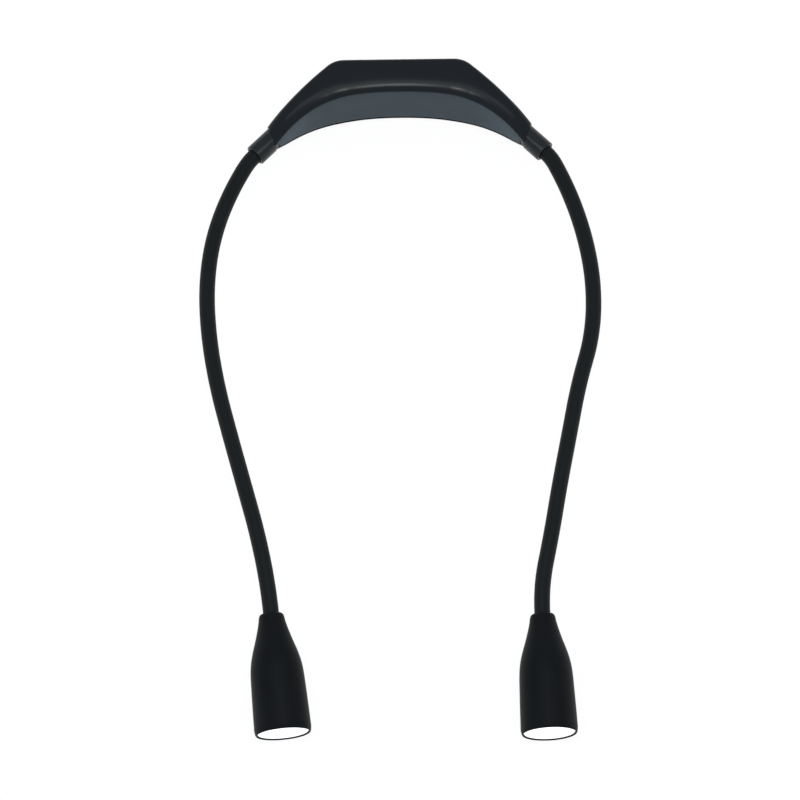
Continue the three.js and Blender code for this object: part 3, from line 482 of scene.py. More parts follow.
def build_shell(settings):
    h, p, c = settings.housing, settings.pad, settings.control
    origin = housing_origin(h)
    shares = shell_shares(h, p)
    at = stations(h, p, shares)
    to_end = (1 - at.place) * h.inner_half_width
    skin = piece("housing_shell", in_space(at, shell_section(h, p, at, to_end), origin), sharp=32)
    back = origin[1] + h.thickness
    cutters = []
    for side in SIDES.values():
        centre = np.array([origin[0] + side * c.button_spread, back - 3.2 * MM, origin[2]])
        cutters.append(cylinder_cutter(centre, np.array([0, 1, 0]), c.button_radius + c.button_gap, 5 * MM))
    port_low, port_high = (np.array(v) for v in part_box("usb_c_socket"))
    middle = (port_low + port_high) / 2
    outline = stadium(c.port_width + 2 * c.button_gap, c.port_height + 2 * c.button_gap)
    rows = [np.concatenate([outline + middle[:2], np.full((len(outline), 1), z)], 1)
            for z in (-1 * MM, port_high[2] + c.button_gap)]
    cutters.append(piece("cutter", np.array(rows)))
    pipe_low, pipe_high = (np.array(v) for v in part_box("charge_light_pipe"))
    pipe = (pipe_low + pipe_high) / 2
    start = np.array([pipe[0], pipe[1], -1 * MM])
    cutters.append(cylinder_cutter(start, np.array([0, 0, 1]), c.pipe_radius + c.button_gap, pipe_high[2] + MM))
    drill(skin, cutters)
    return dress(skin, "housing", satin_abs("moulded_satin_abs", h.finish), ["outer_shell"])


def build_pad(settings):
    """Cushion in a rounded-box section: along is depth - (depth + proud) (1 - |u|^n)^(1/n), u from edge to edge.

    Its attribute toward_tip is the distance from the middle as a share of the half width."""
    h, p = settings.housing, settings.pad
    origin = housing_origin(h)
    end = p.end_share - p.gap / h.inner_half_width
    shares = end * np.sin(np.linspace(-np.pi / 2, np.pi / 2, h.stations + 1))
    at = stations(h, p, shares)
    depth = pad_depth(p, at.place)
    u = np.sin(np.linspace(-np.pi / 2, np.pi / 2, 41))
    n = 4.5
    crown = (1 - np.abs(u) ** n) ** (1 / n)
    tip = np.sqrt(np.clip((1 - np.abs(shares) / end) * 40, 0, 1))
    stand = (depth + p.proud)[:, None] * (0.25 + 0.75 * tip)[:, None]
    front = np.stack([depth[:, None] - stand * crown, at.pad_half[:, None] * u], -1)
    rear = np.stack([np.repeat(depth[:, None], 2, 1), at.pad_half[:, None] * np.array([0.5, -0.5])], -1)
    skin = piece("neck_pad_skin", in_space(at, np.concatenate([front, rear], 1), origin), sharp=50)
    paint(skin, "toward_tip", lambda points: np.abs(points[:, 0] - origin[0]) / h.inner_half_width)
    dress(skin, "housing", foam_skin("rubber_skinned_foam", p.finish), ["neck_pad"])
    return skin


# Collars


def collar_matrix(settings, side):
    """Frame near the middle of the housing's end face: +Y runs out along the collar and Z stays upright."""
    h, c = settings.housing, settings.collar
    at = stations(h, settings.pad, np.array([float(side)]))
    middle = at.start[0] + at.inward[0] * (at.thick[0] / 2 - c.inset)
    turn = -side * (math.pi - c.slant)
    matrix = np.eye(4)
    matrix[:2, :2] = [[math.cos(turn), -math.sin(turn)], [math.sin(turn), math.cos(turn)]]
    matrix[:3, 3] = housing_origin(h) + np.array([*middle, 0])
    local = matrix[:2, :2].T @ at.inward[0]
    return matrix, local[1] / local[0]


def build_collars(settings):
    """Sleeve turned about its axis, whose inner end follows the slanted end face: along is gap + x times the slope."""
    c, g = settings.collar, settings.gooseneck
    finish = polished_abs("polished_abs", c.finish)
    turn = np.linspace(0, 2 * np.pi, 96, endpoint=False)
    arc = np.radians(np.linspace(0, 90, 6))
    lip = c.lip_round
    bore = g.radius + c.gap
    outside = np.stack([c.radius - lip + lip * np.cos(arc), c.length - lip + lip * np.sin(arc)], -1)
    inside = np.stack([bore + 0.3 * MM * (1 - np.sin(arc)), c.length - 0.3 * MM * (1 - np.cos(arc))], -1)
    tail = [(bore, c.length - c.socket_depth), (0, c.length - c.socket_depth)]
    profile = np.concatenate([outside, inside, tail])
    for name, side in SIDES.items():
        matrix, slope = collar_matrix(settings, side)
        radius = np.concatenate([[0, c.radius - 0.1 * MM, c.radius], profile[:, 0]])
        x = radius[:, None] * np.cos(turn)
        z = -radius[:, None] * np.sin(turn)
        along = np.repeat(np.concatenate([[0, 0, 0], profile[:, 1]])[:, None], len(turn), 1)
        along[:3] = c.seam + x[:3] * slope + np.array([0, 0, 0.1 * MM])[:, None]
        skin = piece(f"{name}_collar_sleeve", placed(np.stack([x, along, z], -1), matrix), caps=False)
        dress(skin, "housing", finish, [f"{name}_collar"])


# Goosenecks


def turned(axis, turn):
    """Rotation matrices by Rodrigues' formula: I + sin a K + (1 - cos a) K^2, where K is the axis' cross matrix."""
    x, y, z = axis
    cross = np.array([[0, -z, y], [z, 0, -x], [-y, x, 0]])
    turn = np.asarray(turn, float)[..., None, None]
    return np.eye(3) + np.sin(turn) * cross + (1 - np.cos(turn)) * (cross @ cross)


def link_frames(bend, distance, link):
    """Frames along one evenly bent stretch that starts at the origin and heads along +Y.

    The place is r sin a ahead and r (1 - cos a) aside, where a is the bend so far and r is length over bend."""
    total = max(np.linalg.norm(bend), 1e-9)
    axis = bend / total
    turn = total * distance / link
    aside = np.cross(axis, [0, 1, 0])
    r = link / total
    place = r * np.sin(turn)[:, None] * np.array([0, 1, 0]) + r * (1 - np.cos(turn))[:, None] * aside
    matrix = np.tile(np.eye(4), (len(turn), 1, 1))
    matrix[:, :3, :3] = turned(axis, turn)
    matrix[:, :3, 3] = place
    return matrix


def arm_bends(settings, name):
    g = settings.gooseneck
    rise, dip = getattr(g, f"{name}_rise"), getattr(g, f"{name}_dip")
    turns = np.radians(ARM_TURNS[name])
    pitch = np.zeros(len(turns))
    pitch[RISE_LINK] = rise
    pitch[list(DIP_LINKS)] -= (rise + dip) / len(DIP_LINKS)
    return np.stack([pitch, np.zeros(len(turns)), turns], -1)


def arm_lengths(g):
    return [g.exit] + [g.link] * (len(ARM_TURNS["left"]) - 1)


def arm_frames(settings, name):
    """Start frame of every stretch of an arm, and the frame of the head after the last one."""
    g = settings.gooseneck
    matrix, _ = collar_matrix(settings, SIDES[name])
    lip = np.eye(4)
    lip[1, 3] = settings.collar.length
    frames = [matrix @ lip]
    for bend, link in zip(arm_bends(settings, name), arm_lengths(g)):
        frames.append(frames[-1] @ link_frames(bend, np.array([link]), link)[0])
    for joint in frame["joints"]:
        if joint["type"] == "hinge" and joint["child"] == f"{name}_head":
            off = np.linalg.norm(np.array(joint["pos_m"]) - frames[-2][:3, 3])
            if off > 0.05 * MM:
                raise RuntimeError(f"the {name} arm misses its last hinge by {off / MM:.3f} mm")
    return frames


def sleeve_rings(settings, name, first, last):
    """Ring frames and radii from the middle of one stretch to the middle of the next, or on into collar or head."""
    g = settings.gooseneck
    frames, bends, lengths = arm_frames(settings, name), arm_bends(settings, name), arm_lengths(g)
    matrices, radii = [], []
    if first == 0:
        back = np.array([-g.in_collar, -g.in_collar + 1 * MM, -2 * g.crimp, -g.crimp])
        shift = np.tile(np.eye(4), (len(back), 1, 1))
        shift[:, 1, 3] = back
        matrices.append(frames[0] @ shift)
        radii.append(np.full(len(back), g.radius - g.crimp))
    from_share = 0.0 if first == 0 else 0.5
    spans = [(first, from_share, 1.0), (last, 0.0, 0.5 if last < len(bends) - 1 else 1.0)]
    for number, (index, low, high) in enumerate(spans):
        link = lengths[index]
        count = int(round(link * (high - low) / g.ring_step)) + 1
        distance = np.linspace(low, high, count)[number:] * link
        matrices.append(frames[index] @ link_frames(bends[index], distance, link))
        radii.append(np.full(len(distance), g.radius))
    if last == len(bends) - 1:
        on = np.array([g.crimp, 2 * g.crimp, g.in_head])
        shift = np.tile(np.eye(4), (len(on), 1, 1))
        shift[:, 1, 3] = on
        matrices.append(frames[-1] @ shift)
        radii.append(np.full(len(on), g.radius - g.crimp))
    return np.concatenate(matrices), np.concatenate(radii)


def build_goosenecks(settings):
    """Skin carried along the arm: each ring is r (cos a) across and -r (sin a) up in its own frame."""
    g = settings.gooseneck
    finish = rubber_sleeve("extruded_silicone_rubber", g.finish)
    turn = np.linspace(0, 2 * np.pi, 48, endpoint=False)
    circle = np.stack([np.cos(turn), np.zeros_like(turn), -np.sin(turn)], -1)
    for name in SIDES:
        frames = arm_frames(settings, name)
        for number in range(1, len(frames) - 1):
            matrices, radii = sleeve_rings(settings, name, number - 1, number)
            local = radii[:, None, None] * circle[None]
            points = np.einsum("nij,nkj->nki", matrices[:, :3, :3], local) + matrices[:, None, :3, 3]
            sleeve = piece(f"{name}_sleeve_{number}", points)
            stands_for = [f"{name}_gooseneck_{number:02d}"] + ([f"{name}_gooseneck_10"] if number == 9 else [])
            dress(sleeve, None, finish, stands_for)
            bends, lengths = arm_bends(settings, name)[number - 1:], arm_lengths(g)[number - 1:]
            reach = min(lengths[0] - 1 * MM, g.link / 2 - 1.5 * MM)
            before = frames[number - 1] @ link_frames(bends[0], np.array([lengths[0] - reach]), lengths[0])[0]
            after = frames[number] @ link_frames(bends[1], np.array([reach]), lengths[1])[0]
            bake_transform(sleeve)


# Lamp heads


def catmull_rom(points, samples=400):
    """Smooth curve through the points, its first and last point doubled, then evened out over a short window."""
    p = np.concatenate([points[:1], points, points[-1:]])
    t = np.linspace(0, len(points) - 1, samples)
    i = np.minimum(t.astype(int), len(points) - 2)
    f = (t - i)[:, None]
    a, b, c, d = p[i], p[i + 1], p[i + 2], p[i + 3]
    return 0.5 * (2 * b + (c - a) * f + (2 * a - 5 * b + 4 * c - d) * f ** 2 + (3 * b - a - 3 * c + d) * f ** 3)


def head_profile(settings):
    """Outer outline from the neck's rounding to the rim: radii read off along the axis and evened by a moving mean."""
    h = settings.head
    curve = catmull_rom(np.array(HEAD_OUTLINE)[:, ::-1] * [h.mouth_radius, h.length])
    along = np.linspace(h.neck_round, h.length - h.rim_roll, 150)
    radius = np.interp(along, curve[:, 1], curve[:, 0])
    neck = h.neck_flat + h.neck_round
    radius = np.maximum(radius, neck)
    window = np.hanning(17)
    padded = np.pad(radius, 8, mode="reflect", reflect_type="odd")
    return along, np.convolve(padded, window / window.sum(), mode="valid")


def build_heads(settings):
    h = settings.head
    finish = soft_touch("soft_touch_paint", h.finish)
    glow = opal_diffuser("opal_diffuser", h.glow)
    along, radius = head_profile(settings)
    quarter = np.radians(np.linspace(0, 90, 9))
    neck = np.stack([h.neck_flat + h.neck_round * np.sin(quarter), h.neck_round * (1 - np.cos(quarter))], -1)
    rim = h.rim_round
    roll = h.rim_roll
    tip = np.stack([h.mouth_radius - rim + rim * np.cos(quarter), h.length - roll + roll * np.sin(quarter)], -1)
    mouth = h.mouth_radius - h.wall
    inner_rim = [(mouth + 0.15 * MM, h.length), (mouth, h.length - 0.15 * MM), (mouth, h.length - 18 * MM)]
    inner = [(np.interp(a, along, radius) - h.wall, a) for a in np.linspace(h.length - 19 * MM, 14 * MM, 12)]
    tail = [(h.bore + 1.6 * MM, h.bore_length + 6 * MM), (h.bore + 1.6 * MM, h.bore_length),
            (h.bore, h.bore_length), (h.bore, 0.2 * MM), (h.bore + 0.2 * MM, 0)]
    outer = np.stack([radius, along], -1)[1:]
    outer[:, 0] = np.maximum(outer[:, 0], neck[-1, 0])
    profile = np.concatenate([neck, outer, tip[1:], inner_rim, inner, tail, neck[:1]])
    for name in SIDES:
        matrix = arm_frames(settings, name)[-1]
        shell = lathe(f"{name}_lamp_shell", profile, matrix, sides=160, sharp=32)
        dress(shell, f"{name}_head", finish, [f"{name}_head_shell"])
        build_lens(settings, name, matrix, glow)


def build_lens(settings, name, matrix, glow):
    """Disc with a low dome: its front stands dome (1 - (r / R)^2) beyond its edge.

    Its attribute from_middle is the distance from the axis as a share of the radius."""
    h = settings.head
    wide = h.mouth_radius - h.wall - h.lens_gap
    front = h.length - h.lens_inset - h.lens_dome
    r = np.linspace(wide - 0.3 * MM, 0, 24)
    face = np.stack([r, front + h.lens_dome * (1 - (r / wide) ** 2)], -1)
    edge = [(0, front - h.lens_thickness), (wide, front - h.lens_thickness), (wide, front - 0.3 * MM)]
    lens = lathe(f"{name}_lens_disc", np.concatenate([edge, face]), matrix, sides=128)
    across = matrix[:3, [0, 2]]
    paint(lens, "from_middle", lambda points: np.linalg.norm((points - matrix[:3, 3]) @ across, axis=1) / wide)
    dress(lens, f"{name}_head", glow, [f"{name}_lens"])


# Buttons, charging socket and charge light


def build_buttons(settings):
    """Turned cap: flange, wall, rounded edge and a dish whose depth falls off with the square of the radius."""
    h, c = settings.housing, settings.control
    origin = housing_origin(h)
    finish = button_rubber("moulded_silicone", c.finish)
    top, flange = h.thickness + c.button_proud, h.thickness - h.wall - 0.3 * MM
    arc = np.radians(np.linspace(0, 90, 7))
    edge = 0.5 * MM
    rounding = np.stack([c.button_radius - edge + edge * np.cos(arc), top - edge + edge * np.sin(arc)], -1)
    r = np.linspace(c.button_radius - edge, 0, 16)[1:]
    dish = np.stack([r, top - c.button_dish * (1 - (r / (c.button_radius - edge)) ** 2) ** 2], -1)
    stem = [(0, flange - 2.2 * MM), (1.5 * MM, flange - 2.2 * MM), (1.5 * MM, flange - 0.8 * MM),
            (c.button_radius + 1.1 * MM, flange - 0.8 * MM), (c.button_radius + 1.1 * MM, flange),
            (c.button_radius, flange)]
    profile = np.concatenate([stem, rounding, dish])
    for name, side in SIDES.items():
        matrix = np.eye(4)
        matrix[:3, 3] = origin + np.array([side * c.button_spread, 0, 0])
        cap = lathe(f"{name}_button_cap", profile, matrix, sides=96)
        dress(cap, f"{name}_button", finish, [f"{name}_button"])


def build_ports(settings):
    """Socket: the outline is carried up, rolled in at the mouth and down again. Pipe: a rod with a domed end."""
    c = settings.control
    low, high = (np.array(v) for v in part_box("usb_c_socket"))
    middle = (low + high) / 2
    wall = c.port_wall
    roll = np.radians(np.linspace(0, 180, 9))
    inset = np.concatenate([[0], wall / 2 * (1 - np.cos(roll)), [wall]])
    height = np.concatenate([[high[2]], low[2] + wall / 2 * (1 - np.sin(roll)), [high[2] - wall]])
    rows = [np.concatenate([stadium(c.port_width - 2 * i, c.port_height - 2 * i) + middle[:2],
                            np.full((48, 1), z)], 1) for i, z in zip(inset, height)]
    can = piece("charging_socket_can", np.array(rows), sharp=40)
    dress(can, "housing", drawn_steel("nickel_plated_steel"), ["usb_c_socket"])
    tongue = [stadium(6.4 * MM, 0.7 * MM, 32) + middle[:2]] * 2
    rows = [np.concatenate([t, np.full((32, 1), z)], 1)
            for t, z in zip(tongue, (low[2] + 1.2 * MM, high[2] - wall))]
    dress(piece("charging_socket_tongue", np.array(rows)), "housing",
          contact_tongue("gold_on_nylon"))
    low, high = (np.array(v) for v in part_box("charge_light_pipe"))
    middle = (low + high) / 2
    turn = np.eye(4)
    turn[:3, :3] = np.array([[1, 0, 0], [0, 0, -1], [0, 1, 0]])
    turn[:3, 3] = [middle[0], middle[1], low[2]]
    arc = np.radians(np.linspace(90, 0, 8))
    dome = np.stack([c.pipe_radius * np.cos(arc), 0.3 * MM * (1 - np.sin(arc))], -1)
    rod = np.concatenate([dome, [(c.pipe_radius, high[2] - low[2]), (0, high[2] - low[2])]])
    dress(lathe("charge_light_window", rod, turn, sides=48), "housing",
          frosted_pipe("frosted_acrylic"), ["charge_light_pipe"])


# Finishes


def srgb(code):
    """Hex sRGB to linear: c / 12.92 up to 0.04045, else ((c + 0.055) / 1.055) to the power 2.4."""
    c = np.array([int(code[i:i + 2], 16) for i in (1, 3, 5)]) / 255
    return (*np.where(c <= 0.04045, c / 12.92, ((c + 0.055) / 1.055) ** 2.4).tolist(), 1.0)


def lighter(code, factor):
    """Hex colour with each sRGB channel times a factor."""
    return "#" + "".join(f"{min(255, round(int(code[i:i + 2], 16) * factor)):02X}" for i in (1, 3, 5))


def node(tree, kind, inputs=None, **settings):
    """Adds a node. inputs holds values or, to link, other nodes' output sockets."""
    made = tree.nodes.new(kind)
    for key, value in settings.items():
        setattr(made, key, value)
    for key, value in (inputs or {}).items():
        if isinstance(value, bpy.types.NodeSocket):
            tree.links.new(value, made.inputs[key])
        else:
            made.inputs[key].default_value = value
    return made


def start(name):
    """New material with an empty tree, and its Object coordinates."""
    made = bpy.data.materials.new(name)
    made.use_nodes = True
    made.node_tree.nodes.clear()
    return made, made.node_tree, node(made.node_tree, "ShaderNodeTexCoord").outputs["Object"]


def per(millimetres):
    """Texture scale at which one cell is this many millimetres across."""
    return 1 / (millimetres * MM)


def two_tones(tree, factor, dark, light):
    return node(tree, "ShaderNodeMix", {"Factor": factor, "A": srgb(dark), "B": srgb(light)},
                data_type="RGBA").outputs["Result"]


def spread(tree, value, low, high):
    return node(tree, "ShaderNodeMapRange", {"Value": value, "To Min": low, "To Max": high}).outputs["Result"]


def end(made, tree, **inputs):
    """Principled surface with the given sockets, joined to the output."""
    surface = node(tree, "ShaderNodeBsdfPrincipled", {k.replace("_", " "): v for k, v in inputs.items()})
    node(tree, "ShaderNodeOutputMaterial", {"Surface": surface.outputs["BSDF"]})
    return made


def grain(tree, where, size, detail=2.0):
    """Noise with cells of the given size in millimetres."""
    return node(tree, "ShaderNodeTexNoise", {"Vector": where, "Scale": per(size), "Detail": detail}).outputs["Fac"]


def relief(tree, height, depth, strength=1.0):
    """Bump from a height, with the given depth in millimetres."""
    return node(tree, "ShaderNodeBump", {"Height": height, "Distance": depth * MM, "Strength": strength}).outputs["Normal"]


def satin_abs(name, code):
    # ABS from a spark-eroded mould: a very fine even grain breaks up the gloss into a soft satin sheen.
    # Real grain is 0.1 mm across; 0.5 mm is the finest that shows at this size.
    made, tree, where = start(name)
    cloud, fine = grain(tree, where, 22), grain(tree, where, 0.5, 3)
    return end(made, tree, Base_Color=two_tones(tree, cloud, code, lighter(code, 1.12)),
               Roughness=spread(tree, cloud, 0.18, 0.20), IOR=1.52, Specular_IOR_Level=0.1,
               Normal=relief(tree, fine, 0.012, 0.6))


def polished_abs(name, code):
    # ABS from a polished mould: smoother than the shell, so that light runs along it in a clear streak.
    made, tree, where = start(name)
    cloud, fine = grain(tree, where, 9), grain(tree, where, 0.6)
    return end(made, tree, Base_Color=two_tones(tree, cloud, code, lighter(code, 1.1)),
               Roughness=spread(tree, cloud, 0.22, 0.27), IOR=1.52, Specular_IOR_Level=0.25,
               Normal=relief(tree, fine, 0.006, 0.5))


def foam_skin(name, code):
    # Closed-cell foam under a thin rubber skin: matt slate grey, with shallow pores under 1 mm across, and a painted
    # highlight that makes it paler toward its tips.
    made, tree, where = start(name)
    cloud = grain(tree, where, 14)
    toward_tip = node(tree, "ShaderNodeAttribute", attribute_name="toward_tip").outputs["Fac"]
    # Painted highlight: the base colour turns paler toward the pad's tips.
    painted_tip_highlight = node(tree, "ShaderNodeMapRange", {"Value": toward_tip, "From Min": 0.55, "From Max": 0.95},
                interpolation_type="SMOOTHSTEP").outputs["Result"]
    middle_tones = two_tones(tree, cloud, lighter(code, 0.97), lighter(code, 1.06))
    highlit_tip_tones = two_tones(tree, cloud, lighter(code, 1.14), lighter(code, 1.24))
    tones = node(tree, "ShaderNodeMix", {"Factor": painted_tip_highlight, "A": middle_tones, "B": highlit_tip_tones}, data_type="RGBA")
    pores = node(tree, "ShaderNodeTexVoronoi", {"Vector": where, "Scale": per(0.9), "Randomness": 1.0},
                 feature="SMOOTH_F1").outputs["Distance"]
    return end(made, tree, Base_Color=tones.outputs["Result"],
               Roughness=spread(tree, pores, 0.72, 0.86), IOR=1.5, Specular_IOR_Level=0.2,
               Sheen_Weight=0.04, Sheen_Roughness=0.5, Normal=relief(tree, pores, 0.05, 0.35))


def rubber_sleeve(name, code):
    # Silicone rubber pulled over a wound core: matt black, faintly dusty, with the die's fine flow marks.
    made, tree, where = start(name)
    cloud, fine = grain(tree, where, 12), grain(tree, where, 0.7, 3)
    return end(made, tree, Base_Color=two_tones(tree, cloud, code, lighter(code, 1.15)),
               Roughness=spread(tree, fine, 0.5, 0.6), IOR=1.43, Specular_IOR_Level=0.18,
               Normal=relief(tree, fine, 0.02, 0.5))


def soft_touch(name, code):
    # Plastic under soft-touch paint: a dry satin black that spreads a highlight wide, with a fine spray texture.
    made, tree, where = start(name)
    cloud, spray = grain(tree, where, 16), grain(tree, where, 0.45, 3)
    return end(made, tree, Base_Color=two_tones(tree, cloud, code, lighter(code, 1.12)),
               Roughness=spread(tree, cloud, 0.44, 0.50), IOR=1.5, Specular_IOR_Level=0.06,
               Normal=relief(tree, spray, 0.012, 0.6))


def button_rubber(name, code):
    # Moulded silicone: a little greyer and drier than the shell round it.
    made, tree, where = start(name)
    fine = grain(tree, where, 0.5, 3)
    return end(made, tree, Base_Color=two_tones(tree, fine, code, lighter(code, 1.1)),
               Roughness=spread(tree, fine, 0.55, 0.66), IOR=1.43, Specular_IOR_Level=0.3,
               Normal=relief(tree, fine, 0.015, 0.5))


def opal_diffuser(name, glow):
    # Opal polycarbonate lit from behind: an even white that falls off a little towards its edge.
    made, tree, where = start(name)
    radius = node(tree, "ShaderNodeAttribute", attribute_name="from_middle").outputs["Fac"]
    ramp = node(tree, "ShaderNodeValToRGB", {"Fac": radius})
    ramp.color_ramp.elements[0].position = 0.86
    ramp.color_ramp.elements[0].color = srgb("#FFFFFF")
    ramp.color_ramp.elements[1].color = srgb("#DDE0E2")
    milk = two_tones(tree, grain(tree, where, 5), "#F4F5F5", "#FFFFFF")
    return end(made, tree, Base_Color=milk, Roughness=0.35, IOR=1.58,
               Emission_Color=ramp.outputs["Color"], Emission_Strength=glow)


def drawn_steel(name):
    # Nickel-plated drawn steel: pale grey metal with fine marks along the draw.
    made, tree, where = start(name)
    stretch = node(tree, "ShaderNodeMapping", {"Vector": where, "Scale": (1, 1, 0.08)}).outputs["Vector"]
    marks = grain(tree, stretch, 0.25, 3)
    return end(made, tree, Base_Color=two_tones(tree, marks, "#A9ABAE", "#C4C6C8"), Metallic=1.0,
               Roughness=spread(tree, marks, 0.24, 0.38), Normal=relief(tree, marks, 0.004, 0.4))


def turned_aluminium(name):
    # Aluminium turned on a lathe: bright silver grey with fine rings and a soft gloss.
    made, tree, where = start(name)
    marks = grain(tree, where, 0.3, 4)
    return end(made, tree, Base_Color=two_tones(tree, marks, "#B4B7BA", "#CDD0D2"), Metallic=1.0,
               Roughness=spread(tree, marks, 0.30, 0.42), Normal=relief(tree, marks, 0.005, 0.4))


def crimped_brass(name):
    # Plain brass, a little dull from handling.
    made, tree, where = start(name)
    cloud = grain(tree, where, 2, 3)
    return end(made, tree, Base_Color=two_tones(tree, cloud, "#A98A4B", "#C2A35E"), Metallic=1.0,
               Roughness=spread(tree, cloud, 0.28, 0.42))


def metallised_bowl(name):
    # Plastic with a vacuum-metallised skin: mirror bright, with a faint ripple from the mould.
    made, tree, where = start(name)
    ripple = grain(tree, where, 3)
    return end(made, tree, Base_Color=two_tones(tree, ripple, "#DADCDD", "#E6E7E8"), Metallic=1.0,
               Roughness=spread(tree, ripple, 0.08, 0.16), Normal=relief(tree, ripple, 0.02, 0.3))


def solder_mask(name):
    # Glass-filled board under green solder mask: the traces show as a slightly lighter pattern of 0.4 mm lines.
    made, tree, where = start(name)
    traces = node(tree, "ShaderNodeTexBrick", {
        "Vector": where, "Scale": per(1), "Mortar Size": 0.12, "Brick Width": 3.2, "Row Height": 1.3,
        "Color1": srgb("#0F4A33"), "Color2": srgb("#125239"), "Mortar": srgb("#1C6A49")}).outputs["Color"]
    return end(made, tree, Base_Color=traces, Roughness=0.38, IOR=1.55)


def pouch_foil(name):
    # Aluminised pouch of a flat cell: dull silver with soft dents.
    made, tree, where = start(name)
    dents = grain(tree, where, 6)
    return end(made, tree, Base_Color=two_tones(tree, dents, "#A3A7AB", "#B9BDC1"), Metallic=0.6,
               Roughness=spread(tree, dents, 0.35, 0.5), Normal=relief(tree, dents, 0.1, 0.5))


def wire_jacket(name):
    # Silicone wire jacket: soft red with a dull sheen.
    made, tree, where = start(name)
    cloud = grain(tree, where, 1.5)
    return end(made, tree, Base_Color=two_tones(tree, cloud, "#8E1C1C", "#A12727"),
               Roughness=spread(tree, cloud, 0.5, 0.6), IOR=1.43)


def frosted_pipe(name):
    # Acrylic light pipe with a frosted end: milky, with a little light let through.
    made, tree, where = start(name)
    frost = grain(tree, where, 0.3, 3)
    return end(made, tree, Base_Color=two_tones(tree, frost, "#DDE2E4", "#EEF1F2"), IOR=1.49,
               Roughness=spread(tree, frost, 0.3, 0.45), Transmission_Weight=0.4)


def contact_tongue(name):
    # Black nylon tongue with gold contacts 0.25 mm wide on a 0.5 mm pitch.
    made, tree, where = start(name)
    stripes = node(tree, "ShaderNodeTexWave", {"Vector": where, "Scale": per(1) / 10 * 2 * math.pi / 3.14},
                   bands_direction="X").outputs["Fac"]
    steps = node(tree, "ShaderNodeMath", {0: stripes, 1: 0.5}, operation="GREATER_THAN").outputs["Value"]
    return end(made, tree, Base_Color=two_tones(tree, steps, "#17181A", "#C9A347"), Metallic=steps, Roughness=0.35)


INNER_FINISHES = {
    "inner_cover": lambda: satin_abs("plain_moulded_abs", "#26282A"),
    "cover_screw": lambda: drawn_steel("zinc_plated_steel"),
    "tact_switch": lambda: drawn_steel("tinned_switch_steel"),
    "main_board": lambda: solder_mask("green_solder_mask"),
    "battery_cell": lambda: pouch_foil("aluminised_pouch"),
    "lead": lambda: wire_jacket("silicone_wire_jacket"),
    "ferrule": lambda: crimped_brass("crimped_brass"),
    "heat_sink": lambda: turned_aluminium("turned_aluminium"),
    "led_board": lambda: turned_aluminium("metal_core_board"),
    "reflector": lambda: metallised_bowl("metallised_bowl"),
    "retaining_ring": lambda: satin_abs("moulded_ring_abs", "#1C1E20"),
}


def finish_inner_parts():
    """Every solid that stays gets the finish whose name its own name ends with, or holds."""
    for kind, make in INNER_FINISHES.items():
        mine = [o for n, o in frame["nodes"].items() if kind in n and not o.hide_render]
        finish = make()
        for solid_node in mine:
            solid_node.data.materials.clear()
            solid_node.data.materials.append(finish)


# Studio


def build_camera(s):
    """Camera on the line of sight: right, up and back axes from the elevation, then rolled about that line."""
    up_angle, roll = s.elevation, s.roll
    right = np.array([1.0, 0, 0])
    back = np.array([0, -math.cos(up_angle), math.sin(up_angle)])
    up = np.cross(back, right)
    x = right * math.cos(roll) - up * math.sin(roll)
    y = up * math.cos(roll) + right * math.sin(roll)
    data = bpy.data.cameras.new("studio_camera")
    camera = bpy.data.objects.new("studio_camera", data)
    bpy.context.scene.collection.objects.link(camera)
    matrix = np.eye(4)
    matrix[:3, :3] = np.stack([x, y, back], -1)
    matrix[:3, 3] = np.array(s.target) + back * s.distance
    camera.matrix_world = Matrix(matrix.tolist())
    data.sensor_width = 36
    data.lens = s.distance / s.pixel * data.sensor_width / 800
    data.clip_start, data.clip_end = 0.05, 50
    bpy.context.scene.camera = camera


def seen_rays(tree):
    """1 for rays from the camera, off a gloss or through glass, and 0 for those that light a matt surface."""
    path = node(tree, "ShaderNodeLightPath").outputs
    seen = node(tree, "ShaderNodeMath", {0: path["Is Camera Ray"], 1: path["Is Glossy Ray"]}, operation="MAXIMUM")
    return node(tree, "ShaderNodeMath", {0: seen.outputs["Value"], 1: path["Is Transmission Ray"]},
                operation="MAXIMUM").outputs["Value"]


def build_floor(s):
    """Pale table that takes the object's shadow and lights it from below.

    To the camera it is a thin veil over the white beyond, so an arm that bends below the table still shows."""
    reach = 30
    mesh = bpy.data.meshes.new("white_table")
    mesh.from_pydata([(-reach, -reach, 0), (reach, -reach, 0), (reach, reach, 0), (-reach, reach, 0)], [],
                     [(0, 1, 2, 3)])
    floor = bpy.data.objects.new("white_table", mesh)
    bpy.context.scene.collection.objects.link(floor)
    floor.location.z = -0.0002
    made, tree, _ = start("white_laminate")
    seen = seen_rays(tree)
    matt = node(tree, "ShaderNodeBsdfDiffuse", {"Color": (s.floor_matt,) * 3 + (1,)}).outputs["BSDF"]
    through = node(tree, "ShaderNodeBsdfTransparent", {"Color": (s.floor_glow,) * 3 + (1,)}).outputs["BSDF"]
    both = node(tree, "ShaderNodeAddShader", {0: matt, 1: through}).outputs["Shader"]
    plain = node(tree, "ShaderNodeBsdfDiffuse", {"Color": (0.8, 0.8, 0.8, 1)}).outputs["BSDF"]
    mixed = node(tree, "ShaderNodeMixShader", {"Fac": seen, 1: plain, 2: both}).outputs["Shader"]
    node(tree, "ShaderNodeOutputMaterial", {"Surface": mixed})
    mesh.materials.append(made)


